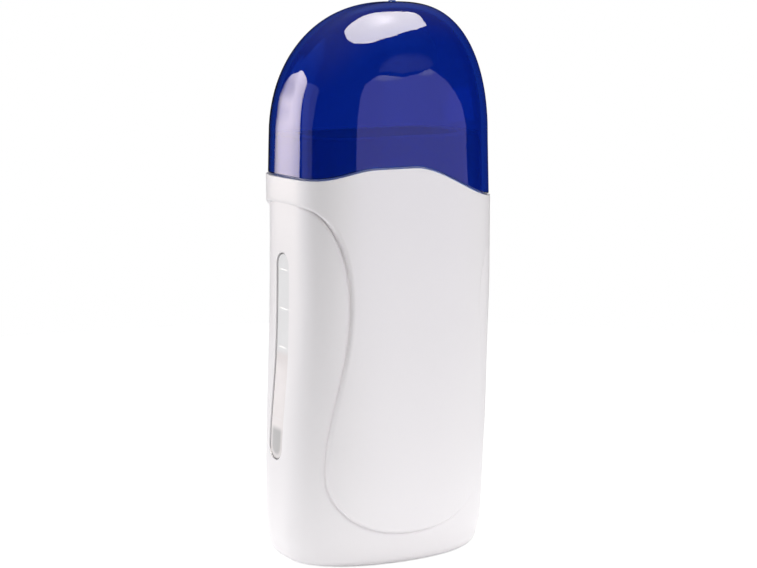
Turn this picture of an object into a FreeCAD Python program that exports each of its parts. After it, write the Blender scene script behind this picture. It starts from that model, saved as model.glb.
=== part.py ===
import FreeCAD, Part
import math
import os

# Heater for roll-on wax cartridges: a two-part casing with a see-through dome cap, a
# cartridge chamber of aluminium inside, and its heater, lamp, fuse and mains inlet.
# Millimetres. The origin is the middle of the foot and +Z is up. The wide front faces -Y,
# and the narrow side with the level window faces -X. The casing parts at y = 0.

Vector = FreeCAD.Vector

# ---------------------------------------------------------------- driving dimensions

# casing, outside
HIP_FLARE = 1.9               # how much wider each narrow side is at the hip
HIP_Z = 27.0
HIP_TOP_Z = 97.0              # the flare starts below this height
TOE_TAPER = 1.8               # the last taper of the narrow sides towards the foot
TOE_FRONT_TAPER = 1.3
TOE_Z = 33.0
FOOT_RADIUS = 3.0             # rounding between the sides and the flat foot
PLAN_POWER = 3.7              # superellipse power of the plan, higher is squarer
FRONT_TOE_POWER = 2.6         # the front corners are rounder low down
CASING_WALL = 1.8
FOOT_WALL = 2.2
SIDE_ROOM = 6.8               # between chamber and casing, for the window, lamp and wires
HEATER_ROOM = 0.8             # between the heater's clamp plate and the casing

# rim of the casing, seen from the front
RIM_LEFT_Z = 128.8
RIM_CREST = 3.4               # the crest above the left end
RIM_FALL = 7.8                # the right end below the left one
RIM_LEFT_RAMP = (-34.0, -16.0)
RIM_RIGHT_RAMP = (0.0, 31.0)

# raised panel on the wide faces, with the band that it hangs from
PANEL_WAIST_HALF = 25.2
PANEL_WAIST_Z = 86.0
PANEL_BULB_HALF = 31.0
PANEL_BULB_Z = 45.0
PANEL_FOOT_Z = 12.4
PANEL_FOOT_POWER = 2.2
BAND_LEFT = 7.3               # height of the band on the window side
BAND_RIGHT = 12.5             # and on the other side
SWEEP_OVERRUN = 1.7           # the panel's edge sweeps out to level this far past the shoulder
SWEEP_POWER = 2.5
SIDE_RELIEF = 0.7             # the grips lie this much below the band
FACE_RELIEF_TOP = 1.9
FACE_RELIEF_LOW = 0.9
FACE_RELIEF_TOP_Z = 115.0
FACE_RELIEF_LOW_Z = 85.0

# dome cap
CAP_STEP = 1.0                # the cap is narrower than the casing by this, each side
CAP_FACE_STEP = 0.3
CAP_DRAFT = 0.022             # mm of half width per mm of height, below the shoulder
CAP_SHOULDER = 2.3            # above the rim's crest
CAP_HEIGHT = 51.1             # from the shoulder to the top
CAP_POWER = 2.6               # superellipse power of the dome's side outline
CAP_TOP_PLAN_POWER = 3.3
CAP_LEAN = 7.3                # how far forward the top of the dome lies
CAP_LEAN_START = 15.5         # above the shoulder
CAP_LEAN_POWER = 1.2
CAP_WALL = 1.8
CAP_RIM_GAP = 0.3             # between the cap's edge and the casing's rim
CAP_COLLAR_GAP = 0.3          # between the cap and the collar it slips over
CAP_TOP_FLAT = 0.15           # the mould's flat at the very top, as a depth
GATE_RADIUS = 1.2
GATE_HEIGHT = 0.35

# collar
COLLAR_RISE = 10.0            # from the rim's crest to the collar's top
COLLAR_SEAT_DEPTH = 1.5       # the collar's shoulder sits this far below the lowest rim
COLLAR_STEP = 2.2             # from the shoulder in to the neck
COLLAR_NECK_WALL = 1.3
COLLAR_DECK = 1.6
COLLAR_FLANGE = 2.0
COLLAR_RIB = 4.3              # height of the casing's rib that the collar grips
COLLAR_EDGE_RADIUS = 0.7
GUIDE_WALL = 1.2
SLEEVE_GRIP = 4.8             # how far the sleeve reaches up into the collar
FIT_GAP = 0.1                 # moulded parts that sit in each other
SEAT_GAP = 0.05               # moulded parts that rest on each other

# cartridge chamber
CARTRIDGE_WIDTH = 52.0
CARTRIDGE_DEPTH = 31.4
CARTRIDGE_GAP = 0.7           # play of the cartridge, each side
CHAMBER_CORNER = 12.0
CHAMBER_Y = 1.2               # the chamber lies back to leave room for the heater
SLEEVE_WALL = 1.0
LEVEL_SLOT_WIDTH = 6.0
PLATE_ROOM = 3.5              # between the terminals and the chamber's floor plate
PLATE_THICKNESS = 2.0
PLUG_HEIGHT = 1.5
PLUG_GAP = 0.2
LEDGE_DEPTH = 2.2
LEDGE_HEIGHT = 1.8
SADDLE_HALF = 20.0            # the ribs that steady the sleeve
SADDLE_THICKNESS = 1.5
SADDLE_LOW = 6.0              # the lower rib above the sleeve's bottom
SADDLE_HIGH = 3.5             # the upper rib's foot below the collar
SADDLE_GAP = 0.2

# level window
WINDOW_LOW = 14.0             # above the sleeve's bottom
WINDOW_HIGH = 5.6             # below the upper rib
WINDOW_WIDTH = 8.4
WINDOW_SWEEP = 3.4            # how far back its lower end lies
WINDOW_SWEEP_Z = 84.0
WINDOW_RECESS = 0.25
WINDOW_GAP = 0.12
WINDOW_LIP = 1.5              # flange behind the casing wall
WINDOW_LIP_THICKNESS = 1.2

# heater on the chamber's front
HEATER_HEIGHT = 32.0
HEATER_HEADROOM = 1.6         # below the upper rib
HEATER_HALF_WIDTH = 15.5
HEATER_BASE = 1.6
HEATER_RIB = 4.0
FILM_THICKNESS = 0.2
CONTACT_THICKNESS = 0.3
CONTACT_TAB_WIDTH = 4.0
CONTACT_TAB_DROP = 3.6
CONTACT_TAB_X = 6.0
CHIP_THICKNESS = 1.6
CHIP_GAP = 1.0
POCKET_GAP = 0.4
CLAMP_THICKNESS = 1.0
CLAMP_SCREW_RADIUS = 1.0
CLAMP_SCREW_HEAD_RADIUS = 1.8
CLAMP_SCREW_LENGTH = 3.6
CLAMP_SCREW_INSET = 5.0

# thermal fuse under the heater
FUSE_DROP = 10.0              # below the heater
FUSE_RADIUS = 1.7
FUSE_LENGTH = 9.0
FUSE_LEAD_RADIUS = 0.4
FUSE_LEAD_LENGTH = 5.0
FUSE_SLEEVE_WALL = 0.4
FUSE_SLEEVE_LENGTH = 14.0
FUSE_CLIP_WIDTH = 5.0
FUSE_CLIP_THICKNESS = 0.5
FUSE_CLIP_FOOT = 3.5

# pilot lamp at the window's lower end
LAMP_RADIUS = 2.3
LAMP_LENGTH = 13.0
LAMP_DROP = 1.5               # its foot below the window's lower end
LAMP_HOLDER_HALF = 2.9
LAMP_HOLDER_GAP = 0.3
LAMP_HOLDER_GRIP = 3.0
LAMP_SHOULDER = 0.4           # the ledge in the holder that the lamp stands on
LAMP_LEAD_RADIUS = 0.3
LAMP_LEAD_PITCH = 2.5
RESISTOR_RADIUS = 1.1
RESISTOR_LENGTH = 6.5
RESISTOR_DROP = 2.0           # below the lamp

# mains inlet in the foot
INLET_LENGTH = 17.6
INLET_WIDTH = 9.6
INLET_WALL = 1.3
INLET_DEPTH = 10.0
INLET_ROOF = 1.5
INLET_RECESS = 0.4
INLET_FLANGE_REACH = 3.2      # past the ends of the nozzle
INLET_FLANGE_SIDE = 2.7       # past its sides
INLET_FLANGE = 1.6
INLET_CLIP_HALF = 4.5
INLET_CLIP_TOP = 2.2
PIN_RADIUS = 1.18
PIN_SPACING = 8.6
PIN_RECESS = 2.0
PIN_GAP = 0.02
TAIL_WIDTH = 2.4
TAIL_THICKNESS = 0.8
TAIL_LENGTH = 4.0
TERMINAL_WIDTH = 4.0
TERMINAL_DEPTH = 2.6
TERMINAL_BARREL_RADIUS = 1.4
TERMINAL_BARREL_LENGTH = 4.0

# insulated wires
WIRE_RADIUS = 0.8
WIRE_GRIP = 2.5               # length of wire inside a terminal's barrel
BEND_REACH = 6.0              # length of wire that a bend takes up, in radii, each side
WIRE_LEAD = 5.7               # straight wire out of a terminal
WIRE_SLANT = 6.4              # from where a wire turns towards its hole to the hole
WIRE_HOLE_GAP = 0.5
WIRE_OFF_SLEEVE = 2.7         # from the sleeve to the middle of a wire that climbs past it
LIVE_Y = -4.0
NEUTRAL_Y = 5.0
NEUTRAL_PASS = 3.0            # the neutral wire passes this far behind the inlet's flange

# casing screws, from the rear
SCREW_OUT = 12.0              # beyond the ends of the inlet's flange
SCREW_Z = 8.5
SCREW_RADIUS = 1.5
SCREW_LENGTH = 22.0
SCREW_HEAD_RADIUS = 2.8
SCREW_HEAD_HEIGHT = 2.0
SCREW_SEAT_DEPTH = 10.0       # of the head's seat, from the widest rear face
SCREW_GAP = 0.2
FRONT_BOSS_RADIUS = 3.0
REAR_BOSS_WALL = 1.3

FAR = 120.0                   # longer than anything that it cuts

# ------------------------------------------------------------------ sizes that follow

# the chamber, the heater in front of it and the casing round both
CHAMBER_WIDTH = CARTRIDGE_WIDTH + 2 * CARTRIDGE_GAP
CHAMBER_DEPTH = CARTRIDGE_DEPTH + 2 * CARTRIDGE_GAP
SLEEVE_FRONT_Y = CHAMBER_Y - CHAMBER_DEPTH / 2 - SLEEVE_WALL
SLEEVE_SIDE_X = CHAMBER_WIDTH / 2 + SLEEVE_WALL
HEATER_FRONT_Y = SLEEVE_FRONT_Y - HEATER_BASE
STACK_DEPTH = 2 * FILM_THICKNESS + 2 * CONTACT_THICKNESS + CHIP_THICKNESS
CLAMP_BACK_Y = HEATER_FRONT_Y - STACK_DEPTH
POCKET_HALF = HEATER_HALF_WIDTH - HEATER_RIB - POCKET_GAP
CLAMP_SCREW_X = HEATER_HALF_WIDTH - HEATER_RIB / 2
BODY_HALF_WIDTH = SLEEVE_SIDE_X + SIDE_ROOM + CASING_WALL
BODY_HALF_DEPTH = CLAMP_THICKNESS - CLAMP_BACK_Y + HEATER_ROOM + CASING_WALL
SWEEP_END_X = BODY_HALF_WIDTH + SWEEP_OVERRUN
CAP_HALF_WIDTH = BODY_HALF_WIDTH - CAP_STEP
CAP_HALF_DEPTH = BODY_HALF_DEPTH - CAP_FACE_STEP

# heights from the rim up
RIM_CREST_Z = RIM_LEFT_Z + RIM_CREST
RIM_RIGHT_Z = RIM_LEFT_Z - RIM_FALL
SEAM_LEFT_Z = RIM_LEFT_Z - BAND_LEFT
SEAM_RIGHT_Z = RIM_RIGHT_Z - BAND_RIGHT
COLLAR_TOP_Z = RIM_CREST_Z + COLLAR_RISE
CAP_SHOULDER_Z = RIM_CREST_Z + CAP_SHOULDER
CAP_TOP_Z = CAP_SHOULDER_Z + CAP_HEIGHT
CAP_LEAN_Z = CAP_SHOULDER_Z + CAP_LEAN_START

# heights from the inlet up to the chamber's floor
INLET_FLANGE_LENGTH = INLET_LENGTH + 2 * INLET_FLANGE_REACH
INLET_FLANGE_WIDTH = INLET_WIDTH + 2 * INLET_FLANGE_SIDE
INLET_TOP_Z = INLET_DEPTH + INLET_ROOF
TERMINAL_Z = INLET_TOP_Z + TAIL_LENGTH / 2
TERMINAL_TOP_Z = INLET_TOP_Z + TAIL_LENGTH
PLATE_Z = TERMINAL_TOP_Z + PLATE_ROOM
SLEEVE_BOTTOM_Z = PLATE_Z + PLATE_THICKNESS
SADDLE_LOW_Z = SLEEVE_BOTTOM_Z + SADDLE_LOW
WINDOW_LOW_Z = SLEEVE_BOTTOM_Z + WINDOW_LOW

# heights from the collar down
COLLAR_SEAT_Z = RIM_RIGHT_Z - COLLAR_SEAT_DEPTH
NECK_LOW_Z = COLLAR_SEAT_Z - COLLAR_RIB - COLLAR_FLANGE
SLEEVE_TOP_Z = NECK_LOW_Z + SLEEVE_GRIP
SADDLE_HIGH_Z = NECK_LOW_Z - SADDLE_HIGH
WINDOW_HIGH_Z = SADDLE_HIGH_Z - WINDOW_HIGH
HEATER_TOP_Z = SADDLE_HIGH_Z - HEATER_HEADROOM
HEATER_LOW_Z = HEATER_TOP_Z - HEATER_HEIGHT
FUSE_Z = HEATER_LOW_Z - FUSE_DROP

# the lamp behind the window's lower end, and the screws
LAMP_X = -(SLEEVE_SIDE_X + LAMP_HOLDER_GAP + LAMP_HOLDER_HALF)
LAMP_Y = WINDOW_SWEEP
LAMP_LOW_Z = WINDOW_LOW_Z - LAMP_DROP
LAMP_BORE = LAMP_RADIUS - LAMP_SHOULDER
RESISTOR_TOP_Z = LAMP_LOW_Z - RESISTOR_DROP
RESISTOR_Y = LAMP_Y + LAMP_BORE - RESISTOR_RADIUS - PIN_GAP
BYPASS_Y = LAMP_Y - LAMP_BORE + LAMP_LEAD_RADIUS + PIN_GAP
SCREW_X = INLET_FLANGE_LENGTH / 2 + SCREW_OUT
SCREW_SEAT_Y = BODY_HALF_DEPTH - SCREW_SEAT_DEPTH


# ---------------------------------------------------------------------- small helpers

def ease(t):
    """Smooth step from 0 to 1, level at both ends."""
    t = min(max(t, 0.0), 1.0)
    return t * t * (3.0 - 2.0 * t)


def power_cos(angle, power):
    """Cosine of a superellipse: its sign kept, its size raised to 2 / power."""
    return math.copysign(abs(math.cos(angle)) ** (2.0 / power), math.cos(angle))


def power_sin(angle, power):
    return math.copysign(abs(math.sin(angle)) ** (2.0 / power), math.sin(angle))


def box(x_low, x_high, y_low, y_high, z_low, z_high):
    return Part.makeBox(x_high - x_low, y_high - y_low, z_high - z_low, Vector(x_low, y_low, z_low))


def rod(radius, start, end):
    start, end = Vector(*start), Vector(*end)
    return Part.makeCylinder(radius, (end - start).Length, start, end - start)


def slab(z_low, z_high):
    return box(-FAR, FAR, -FAR, FAR, z_low, z_high)


def fuse_all(shapes):
    return shapes[0].multiFuse(shapes[1:]).removeSplitter()


def spline_edge(points):
    curve = Part.BSplineCurve()
    curve.interpolate(Points=points)
    return curve.toShape()


def outline_prism(points, closing, direction):
    """Solid swept along direction from a smooth line through points, closed by straight runs."""
    corners = [points[-1]] + closing + [points[0]]
    edges = [spline_edge(points)]
    edges += [Part.makeLine(a, b) for a, b in zip(corners, corners[1:])]
    return Part.Face(Part.Wire(edges)).extrude(direction)


def rounded_prism(length, depth, radius, centre_y, z_low, z_high):
    """Upright prism on a rectangle with round corners."""
    block = box(-length / 2, length / 2, centre_y - depth / 2, centre_y + depth / 2, z_low, z_high)
    upright = [e for e in block.Edges if abs(e.tangentAt(e.FirstParameter).z) > 0.9]
    return block.makeFillet(radius, upright)


def tube(points, radius):
    """Round wire along straight runs that tangent arcs join."""
    points = [Vector(*p) for p in points]
    edges = []
    start = points[0]
    for before, corner, after in zip(points, points[1:], points[2:]):
        back, ahead = (before - corner), (after - corner)
        reach = min(0.45 * back.Length, 0.45 * ahead.Length, BEND_REACH * radius)
        back, ahead = back.normalize(), ahead.normalize()
        enter, leave = corner + back * reach, corner + ahead * reach
        half_turn = (math.pi - back.getAngle(ahead)) / 2
        bulge = reach * math.tan(half_turn) * (1 / math.cos(half_turn) - 1) / math.tan(half_turn) ** 2
        middle = corner + (back + ahead).normalize() * bulge
        edges.append(Part.makeLine(start, enter))
        edges.append(Part.Arc(enter, middle, leave).toShape())
        start = leave
    edges.append(Part.makeLine(start, points[-1]))
    path = Part.Wire(edges)
    section = Part.Wire([Part.makeCircle(radius, points[0], points[1] - points[0])])
    return path.makePipeShell([section], True, False)


# --------------------------------------------------------------------- plan sections

PLAN_POINTS = 40
PLAN_ANGLES = [math.pi / 2 + 2 * math.pi * k / PLAN_POINTS for k in range(PLAN_POINTS)]


def plan_points(z, half_width, front, back, front_power, back_power, centre_y=0.0):
    """Points round a plan made of two half superellipses that meet on the widest line."""
    points = []
    for angle in PLAN_ANGLES:
        in_front = math.sin(angle) < 0
        depth = front if in_front else back
        power = front_power if in_front else back_power
        x = half_width * power_cos(angle, power)
        y = centre_y + depth * power_sin(angle, power)
        points.append(Vector(x, y, z))
    return points


def chord_parameters(points):
    """One set of curve parameters, which all plans share so that they loft cleanly."""
    lengths = [0.0]
    for a, b in zip(points, points[1:] + points[:1]):
        lengths.append(lengths[-1] + (b - a).Length)
    return [length / lengths[-1] for length in lengths]


PLAN_PARAMETERS = chord_parameters(
    plan_points(0, BODY_HALF_WIDTH, BODY_HALF_DEPTH, BODY_HALF_DEPTH, PLAN_POWER, PLAN_POWER))


def plan_wire(*plan):
    curve = Part.BSplineCurve()
    curve.interpolate(Points=plan_points(*plan), PeriodicFlag=True, Parameters=PLAN_PARAMETERS)
    return Part.Wire([curve.toShape()])


def loft(plans):
    return Part.makeLoft([plan_wire(*plan) for plan in plans], True, False)


# ------------------------------------------------------------------- casing outlines

def face_relief(z):
    rise = ease((z - FACE_RELIEF_LOW_Z) / (FACE_RELIEF_TOP_Z - FACE_RELIEF_LOW_Z))
    return FACE_RELIEF_LOW + (FACE_RELIEF_TOP - FACE_RELIEF_LOW) * rise


def casing_plan(z, grip, inset):
    """Plan of the casing at height z: of its raised surface, or of the grips below it."""
    hip = ease((HIP_TOP_Z - z) / (HIP_TOP_Z - HIP_Z))
    toe = ease((TOE_Z - z) / TOE_Z)
    half_width = BODY_HALF_WIDTH + HIP_FLARE * hip - TOE_TAPER * toe - inset
    front = BODY_HALF_DEPTH - TOE_FRONT_TAPER * toe - inset
    back = BODY_HALF_DEPTH - inset
    front_power = PLAN_POWER + (FRONT_TOE_POWER - PLAN_POWER) * hip
    if grip:
        half_width -= SIDE_RELIEF
        front -= face_relief(z)
        back -= face_relief(z)
    return half_width, front, back, front_power, PLAN_POWER


def casing_form(grip, inset, floor_z=0.0, top_z=FAR * 1.2):
    """Closed form of the casing, inset from its outside, with a rounded foot at floor_z."""
    radius = max(FOOT_RADIUS - inset, FOOT_RADIUS / 4)
    plans = []
    for step in range(5):
        angle = math.pi / 2 * step / 4
        z = floor_z + radius * (1 - math.cos(angle))
        half_width, front, back, *powers = casing_plan(z, grip, inset)
        tuck = radius * (1 - math.sin(angle))
        plans.append((z, half_width - tuck, front - tuck, back - tuck, *powers))
    spacing = 14.0
    low = floor_z + radius
    count = math.ceil((top_z - low) / spacing)
    for step in range(1, count + 1):
        z = low + (top_z - low) * step / count
        plans.append((z, *casing_plan(z, grip, inset)))
    return loft(plans)


def panel_outline(inset):
    """Lower edge of the band and the panel's edge, from left to right, as seen from the front."""
    waist, bulb = PANEL_WAIST_HALF - inset, PANEL_BULB_HALF - inset
    foot = PANEL_BULB_Z - PANEL_FOOT_Z - inset
    half = []
    for step in range(1, 7):
        blend = (1 - math.cos(math.pi * step / 7)) / 2
        z = PANEL_WAIST_Z + (PANEL_BULB_Z - PANEL_WAIST_Z) * step / 7
        half.append((waist + (bulb - waist) * blend, z))
    for step in range(7):
        angle = math.pi / 2 * step / 7
        x = bulb * power_cos(angle, PANEL_FOOT_POWER)
        half.append((x, PANEL_BULB_Z - foot * power_sin(angle, PANEL_FOOT_POWER)))

    def sweep(seam_z):
        points = []
        for step in range(7):
            angle = math.pi / 2 * (1 - step / 6)
            x = SWEEP_END_X - (SWEEP_END_X - waist) * power_cos(angle, SWEEP_POWER)
            z = PANEL_WAIST_Z + (seam_z + inset - PANEL_WAIST_Z) * power_sin(angle, SWEEP_POWER)
            points.append((x, z))
        return points

    left = [(-x, z) for x, z in sweep(SEAM_LEFT_Z) + half]
    right = (sweep(SEAM_RIGHT_Z) + half)[::-1]
    bottom = [(0.0, PANEL_BULB_Z - foot)]
    return [Vector(x, -FAR, z) for x, z in left + bottom + right]


def panel_prism(inset):
    """All that lies above the band's lower edge or inside the panel."""
    points = panel_outline(inset)
    first, last = points[0], points[-1]
    closing = [Vector(FAR, -FAR, last.z), Vector(FAR, -FAR, 2 * FAR),
               Vector(-FAR, -FAR, 2 * FAR), Vector(-FAR, -FAR, first.z)]
    return outline_prism(points, closing, Vector(0, 2 * FAR, 0))


def two_level_form(inset, floor_z):
    """The casing's form with its raised panels and band, inset from its outside."""
    grips = casing_form(True, inset, floor_z)
    raised = casing_form(False, inset, floor_z).common(panel_prism(inset))
    return grips.fuse(raised)


def rim_height(x):
    """Height of the casing's rim: level, a low crest, then a long fall to the right."""
    left = ease((x - RIM_LEFT_RAMP[0]) / (RIM_LEFT_RAMP[1] - RIM_LEFT_RAMP[0]))
    right = ease((x - RIM_RIGHT_RAMP[0]) / (RIM_RIGHT_RAMP[1] - RIM_RIGHT_RAMP[0]))
    return RIM_LEFT_Z + (RIM_CREST_Z - RIM_LEFT_Z) * left + (RIM_RIGHT_Z - RIM_CREST_Z) * right


def above_rim(gap):
    """All that lies more than gap above the rim."""
    reach = BODY_HALF_WIDTH + 8.0
    count = 30
    points = []
    for step in range(count + 1):
        x = -reach + 2 * reach * step / count
        points.append(Vector(x, -FAR, rim_height(x) + gap))
    closing = [Vector(reach, -FAR, 2 * FAR), Vector(-reach, -FAR, 2 * FAR)]
    return outline_prism(points, closing, Vector(0, 2 * FAR, 0))


# ---------------------------------------------------------------- cap and collar forms

def dome_plan(z, inset):
    """Plan of the cap at height z, inset from its outside."""
    height = CAP_TOP_Z - CAP_SHOULDER_Z - inset
    rise = min(max((z - CAP_SHOULDER_Z) / height, 0.0), 1.0)
    shrink = (1 - rise ** CAP_POWER) ** (1 / CAP_POWER)
    draft = CAP_DRAFT * max(CAP_SHOULDER_Z - z, CAP_SHOULDER_Z - CAP_LEAN_Z)
    half_width = (CAP_HALF_WIDTH + draft - inset) * shrink
    half_depth = (CAP_HALF_DEPTH + draft - inset) * shrink
    power = PLAN_POWER + (CAP_TOP_PLAN_POWER - PLAN_POWER) * ease(rise)
    lean = -CAP_LEAN * ease((z - CAP_LEAN_Z) / (CAP_TOP_Z - CAP_LEAN_Z)) ** CAP_LEAN_POWER
    return half_width, half_depth, half_depth, power, power, lean


def dome_form(inset, low_z):
    """Closed dome, inset from the cap's outside, with a small flat at its very top."""
    top_z = CAP_TOP_Z - inset - CAP_TOP_FLAT
    heights = [low_z, (low_z + CAP_SHOULDER_Z) / 2]
    count = 11
    last = math.asin(((top_z - CAP_SHOULDER_Z) / (CAP_TOP_Z - inset - CAP_SHOULDER_Z)) ** (CAP_POWER / 2))
    for step in range(count + 1):
        angle = last * step / count
        heights.append(CAP_SHOULDER_Z + (CAP_TOP_Z - inset - CAP_SHOULDER_Z) * power_sin(angle, CAP_POWER))
    return loft([(z, *dome_plan(z, inset)) for z in heights])


def collar_form(gap):
    """The collar's outside above its shoulder: the inside of the cap, less their gap."""
    inset = CAP_WALL + CAP_COLLAR_GAP - gap
    heights = [COLLAR_SEAT_Z, (COLLAR_SEAT_Z + COLLAR_TOP_Z) / 2, COLLAR_TOP_Z]
    return loft([(z, *dome_plan(z, inset)) for z in heights])


def neck_form(gap, z_low, z_high):
    """The collar's neck, which the casing's rib closes round."""
    half_width, half_depth, *rest = dome_plan(COLLAR_SEAT_Z, CAP_WALL + CAP_COLLAR_GAP)
    half_width += gap - COLLAR_STEP
    half_depth += gap - COLLAR_STEP
    return loft([(z, half_width, half_depth, half_depth, *rest[1:]) for z in (z_low, z_high)])


# ------------------------------------------------------------------- casing shells

def window_prism(margin, x_low, x_high):
    """Level window seen from the side, grown by margin: a slot whose lower half sweeps back."""
    half = WINDOW_WIDTH / 2 + margin
    low, high = WINDOW_LOW_Z + WINDOW_WIDTH / 2, WINDOW_HIGH_Z - WINDOW_WIDTH / 2
    count = 10
    heights = [low + (high - low) * step / count for step in range(count + 1)]

    def edge(side):
        return [Vector(x_low, window_centre(z) + side * half, z) for z in heights]

    front, rear = edge(-1), edge(1)[::-1]
    top = Vector(x_low, window_centre(high), high + half)
    bottom = Vector(x_low, window_centre(low), low - half)
    edges = [spline_edge(front), Part.Arc(front[-1], top, rear[0]).toShape(),
             spline_edge(rear), Part.Arc(rear[-1], bottom, front[0]).toShape()]
    return Part.Face(Part.Wire(edges)).extrude(Vector(x_high - x_low, 0, 0))


def window_centre(z):
    return WINDOW_SWEEP * ease((WINDOW_SWEEP_Z - z) / (WINDOW_SWEEP_Z - WINDOW_LOW_Z))


def sleeve_outline(gap, z_low, z_high):
    grow = 2 * (SLEEVE_WALL + gap)
    return rounded_prism(CHAMBER_WIDTH + grow, CHAMBER_DEPTH + grow, CHAMBER_CORNER + grow / 2,
                         CHAMBER_Y, z_low, z_high)


def collar_rib():
    z_low, z_high = COLLAR_SEAT_Z - COLLAR_RIB, COLLAR_SEAT_Z - SEAT_GAP
    return slab(z_low, z_high).cut(neck_form(FIT_GAP, z_low - 1, z_high + 1))


def plate_ledge():
    z_high = PLATE_Z - SEAT_GAP
    z_low = z_high - LEDGE_HEIGHT
    return slab(z_low, z_high).cut(casing_form(True, CASING_WALL + LEDGE_DEPTH, z_low - 3 * FOOT_RADIUS))


def saddle(z):
    rib = box(-SADDLE_HALF, SADDLE_HALF, -FAR, FAR, z, z + SADDLE_THICKNESS)
    return rib.cut(sleeve_outline(SADDLE_GAP, z - 1, z + SADDLE_THICKNESS + 1))


def inlet_clips():
    """Two ribs on the foot, each with a slot that the inlet's flange slides into."""
    top = FOOT_WALL + INLET_FLANGE + INLET_CLIP_TOP
    rib = box(-INLET_CLIP_HALF, INLET_CLIP_HALF, -FAR, FAR, 0, top)
    rib = rib.cut(box(-FAR, FAR, -INLET_WIDTH / 2 - 1, INLET_WIDTH / 2 + 1, -1, FAR))
    slot = box(-FAR, FAR, -INLET_FLANGE_WIDTH / 2 - FIT_GAP, INLET_FLANGE_WIDTH / 2 + FIT_GAP,
               0, FOOT_WALL + INLET_FLANGE + 2 * SEAT_GAP)
    return rib.cut(slot)


def screw_bosses():
    bosses = []
    for x in (-SCREW_X, SCREW_X):
        bosses.append(rod(FRONT_BOSS_RADIUS, (x, -FAR, SCREW_Z), (x, 0, SCREW_Z)))
        bosses.append(rod(SCREW_HEAD_RADIUS + SCREW_GAP + REAR_BOSS_WALL, (x, 0, SCREW_Z), (x, FAR, SCREW_Z)))
    return bosses


def casing():
    """Both shells as one: walls that follow the panels, with the ribs and bosses inside."""
    ribs = [collar_rib(), plate_ledge(), saddle(SADDLE_LOW_Z), saddle(SADDLE_HIGH_Z), inlet_clips()]
    hollow = two_level_form(CASING_WALL, FOOT_WALL).cut(ribs + screw_bosses())
    pocket = collar_form(FIT_GAP)
    window = window_prism(0, -FAR, -SLEEVE_SIDE_X)
    inlet = stadium(INLET_LENGTH + 2 * FIT_GAP, INLET_WIDTH + 2 * FIT_GAP, -1, FOOT_WALL + 1)
    return two_level_form(0, 0).cut([hollow, above_rim(0), pocket, window, inlet])


def front_shell(whole):
    front = whole.common(box(-FAR, FAR, -FAR, 0, -FAR, 2 * FAR))
    depth = SCREW_SEAT_Y - SCREW_LENGTH - 1.0
    return front.cut([rod(SCREW_RADIUS, (x, 1, SCREW_Z), (x, depth, SCREW_Z)) for x in (-SCREW_X, SCREW_X)])


def rear_shell(whole):
    rear = whole.common(box(-FAR, FAR, 0, FAR, -FAR, 2 * FAR))
    holes = []
    for x in (-SCREW_X, SCREW_X):
        holes.append(rod(SCREW_RADIUS + SCREW_GAP, (x, -1, SCREW_Z), (x, FAR, SCREW_Z)))
        holes.append(rod(SCREW_HEAD_RADIUS + SCREW_GAP, (x, SCREW_SEAT_Y, SCREW_Z), (x, FAR, SCREW_Z)))
    return rear.cut(holes)


def casing_screws():
    tip, seat = SCREW_SEAT_Y - SCREW_LENGTH, SCREW_SEAT_Y
    screws = []
    for x in (-SCREW_X, SCREW_X):
        shank = rod(SCREW_RADIUS - PIN_GAP, (x, tip, SCREW_Z), (x, seat, SCREW_Z))
        head = rod(SCREW_HEAD_RADIUS, (x, seat, SCREW_Z), (x, seat + SCREW_HEAD_HEIGHT, SCREW_Z))
        recess = rod(SCREW_RADIUS, (x, seat + SCREW_HEAD_HEIGHT / 2, SCREW_Z), (x, FAR, SCREW_Z))
        screws.append(shank.fuse(head).cut(recess))
    return Part.makeCompound(screws)


# ------------------------------------------------------------------ cap, collar, window

def cap():
    low_z = RIM_RIGHT_Z - 4.0
    wall = dome_form(0, low_z).cut(dome_form(CAP_WALL, low_z - 1.0))
    wall = wall.common(above_rim(CAP_RIM_GAP))
    top_y = dome_plan(CAP_TOP_Z - CAP_TOP_FLAT, 0)[-1]
    gate = rod(GATE_RADIUS, (0, top_y, CAP_TOP_Z - CAP_WALL / 2), (0, top_y, CAP_TOP_Z + GATE_HEIGHT))
    return wall.fuse(gate)


def collar():
    """Ring with a deck round the cartridge's mouth, and a guide down to the sleeve."""
    outside = collar_form(0)
    top_edges = [e for e in outside.Edges if e.BoundBox.ZMin > COLLAR_TOP_Z - 0.1]
    outside = outside.makeFillet(COLLAR_EDGE_RADIUS, top_edges)
    neck = neck_form(0, NECK_LOW_Z, COLLAR_SEAT_Z + 1)
    flange_top = NECK_LOW_Z + COLLAR_FLANGE - SEAT_GAP
    flange = casing_form(True, CASING_WALL + FIT_GAP).common(slab(NECK_LOW_Z, flange_top))
    solid = outside.fuse([neck, flange])
    guide = sleeve_outline(GUIDE_WALL - SLEEVE_WALL, SLEEVE_TOP_Z + SEAT_GAP, COLLAR_TOP_Z)
    hollow = neck_form(-COLLAR_NECK_WALL, NECK_LOW_Z - 1, COLLAR_TOP_Z - COLLAR_DECK).cut(guide)
    mouth = rounded_prism(CHAMBER_WIDTH, CHAMBER_DEPTH, CHAMBER_CORNER, CHAMBER_Y, NECK_LOW_Z - 1, FAR * 2)
    socket = sleeve_outline(FIT_GAP, NECK_LOW_Z - 1, SLEEVE_TOP_Z + SEAT_GAP)
    return solid.cut([hollow, mouth, socket])


def level_window():
    """Clear lens that fills the slot in the casing, with a flange behind the wall."""
    lens = window_prism(-WINDOW_GAP, -FAR, -SLEEVE_SIDE_X).common(casing_form(True, WINDOW_RECESS))
    flange = window_prism(WINDOW_LIP, -FAR, -SLEEVE_SIDE_X).common(casing_form(True, CASING_WALL + SEAT_GAP))
    return lens.fuse(flange).cut(casing_form(True, CASING_WALL + WINDOW_LIP_THICKNESS))


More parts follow.
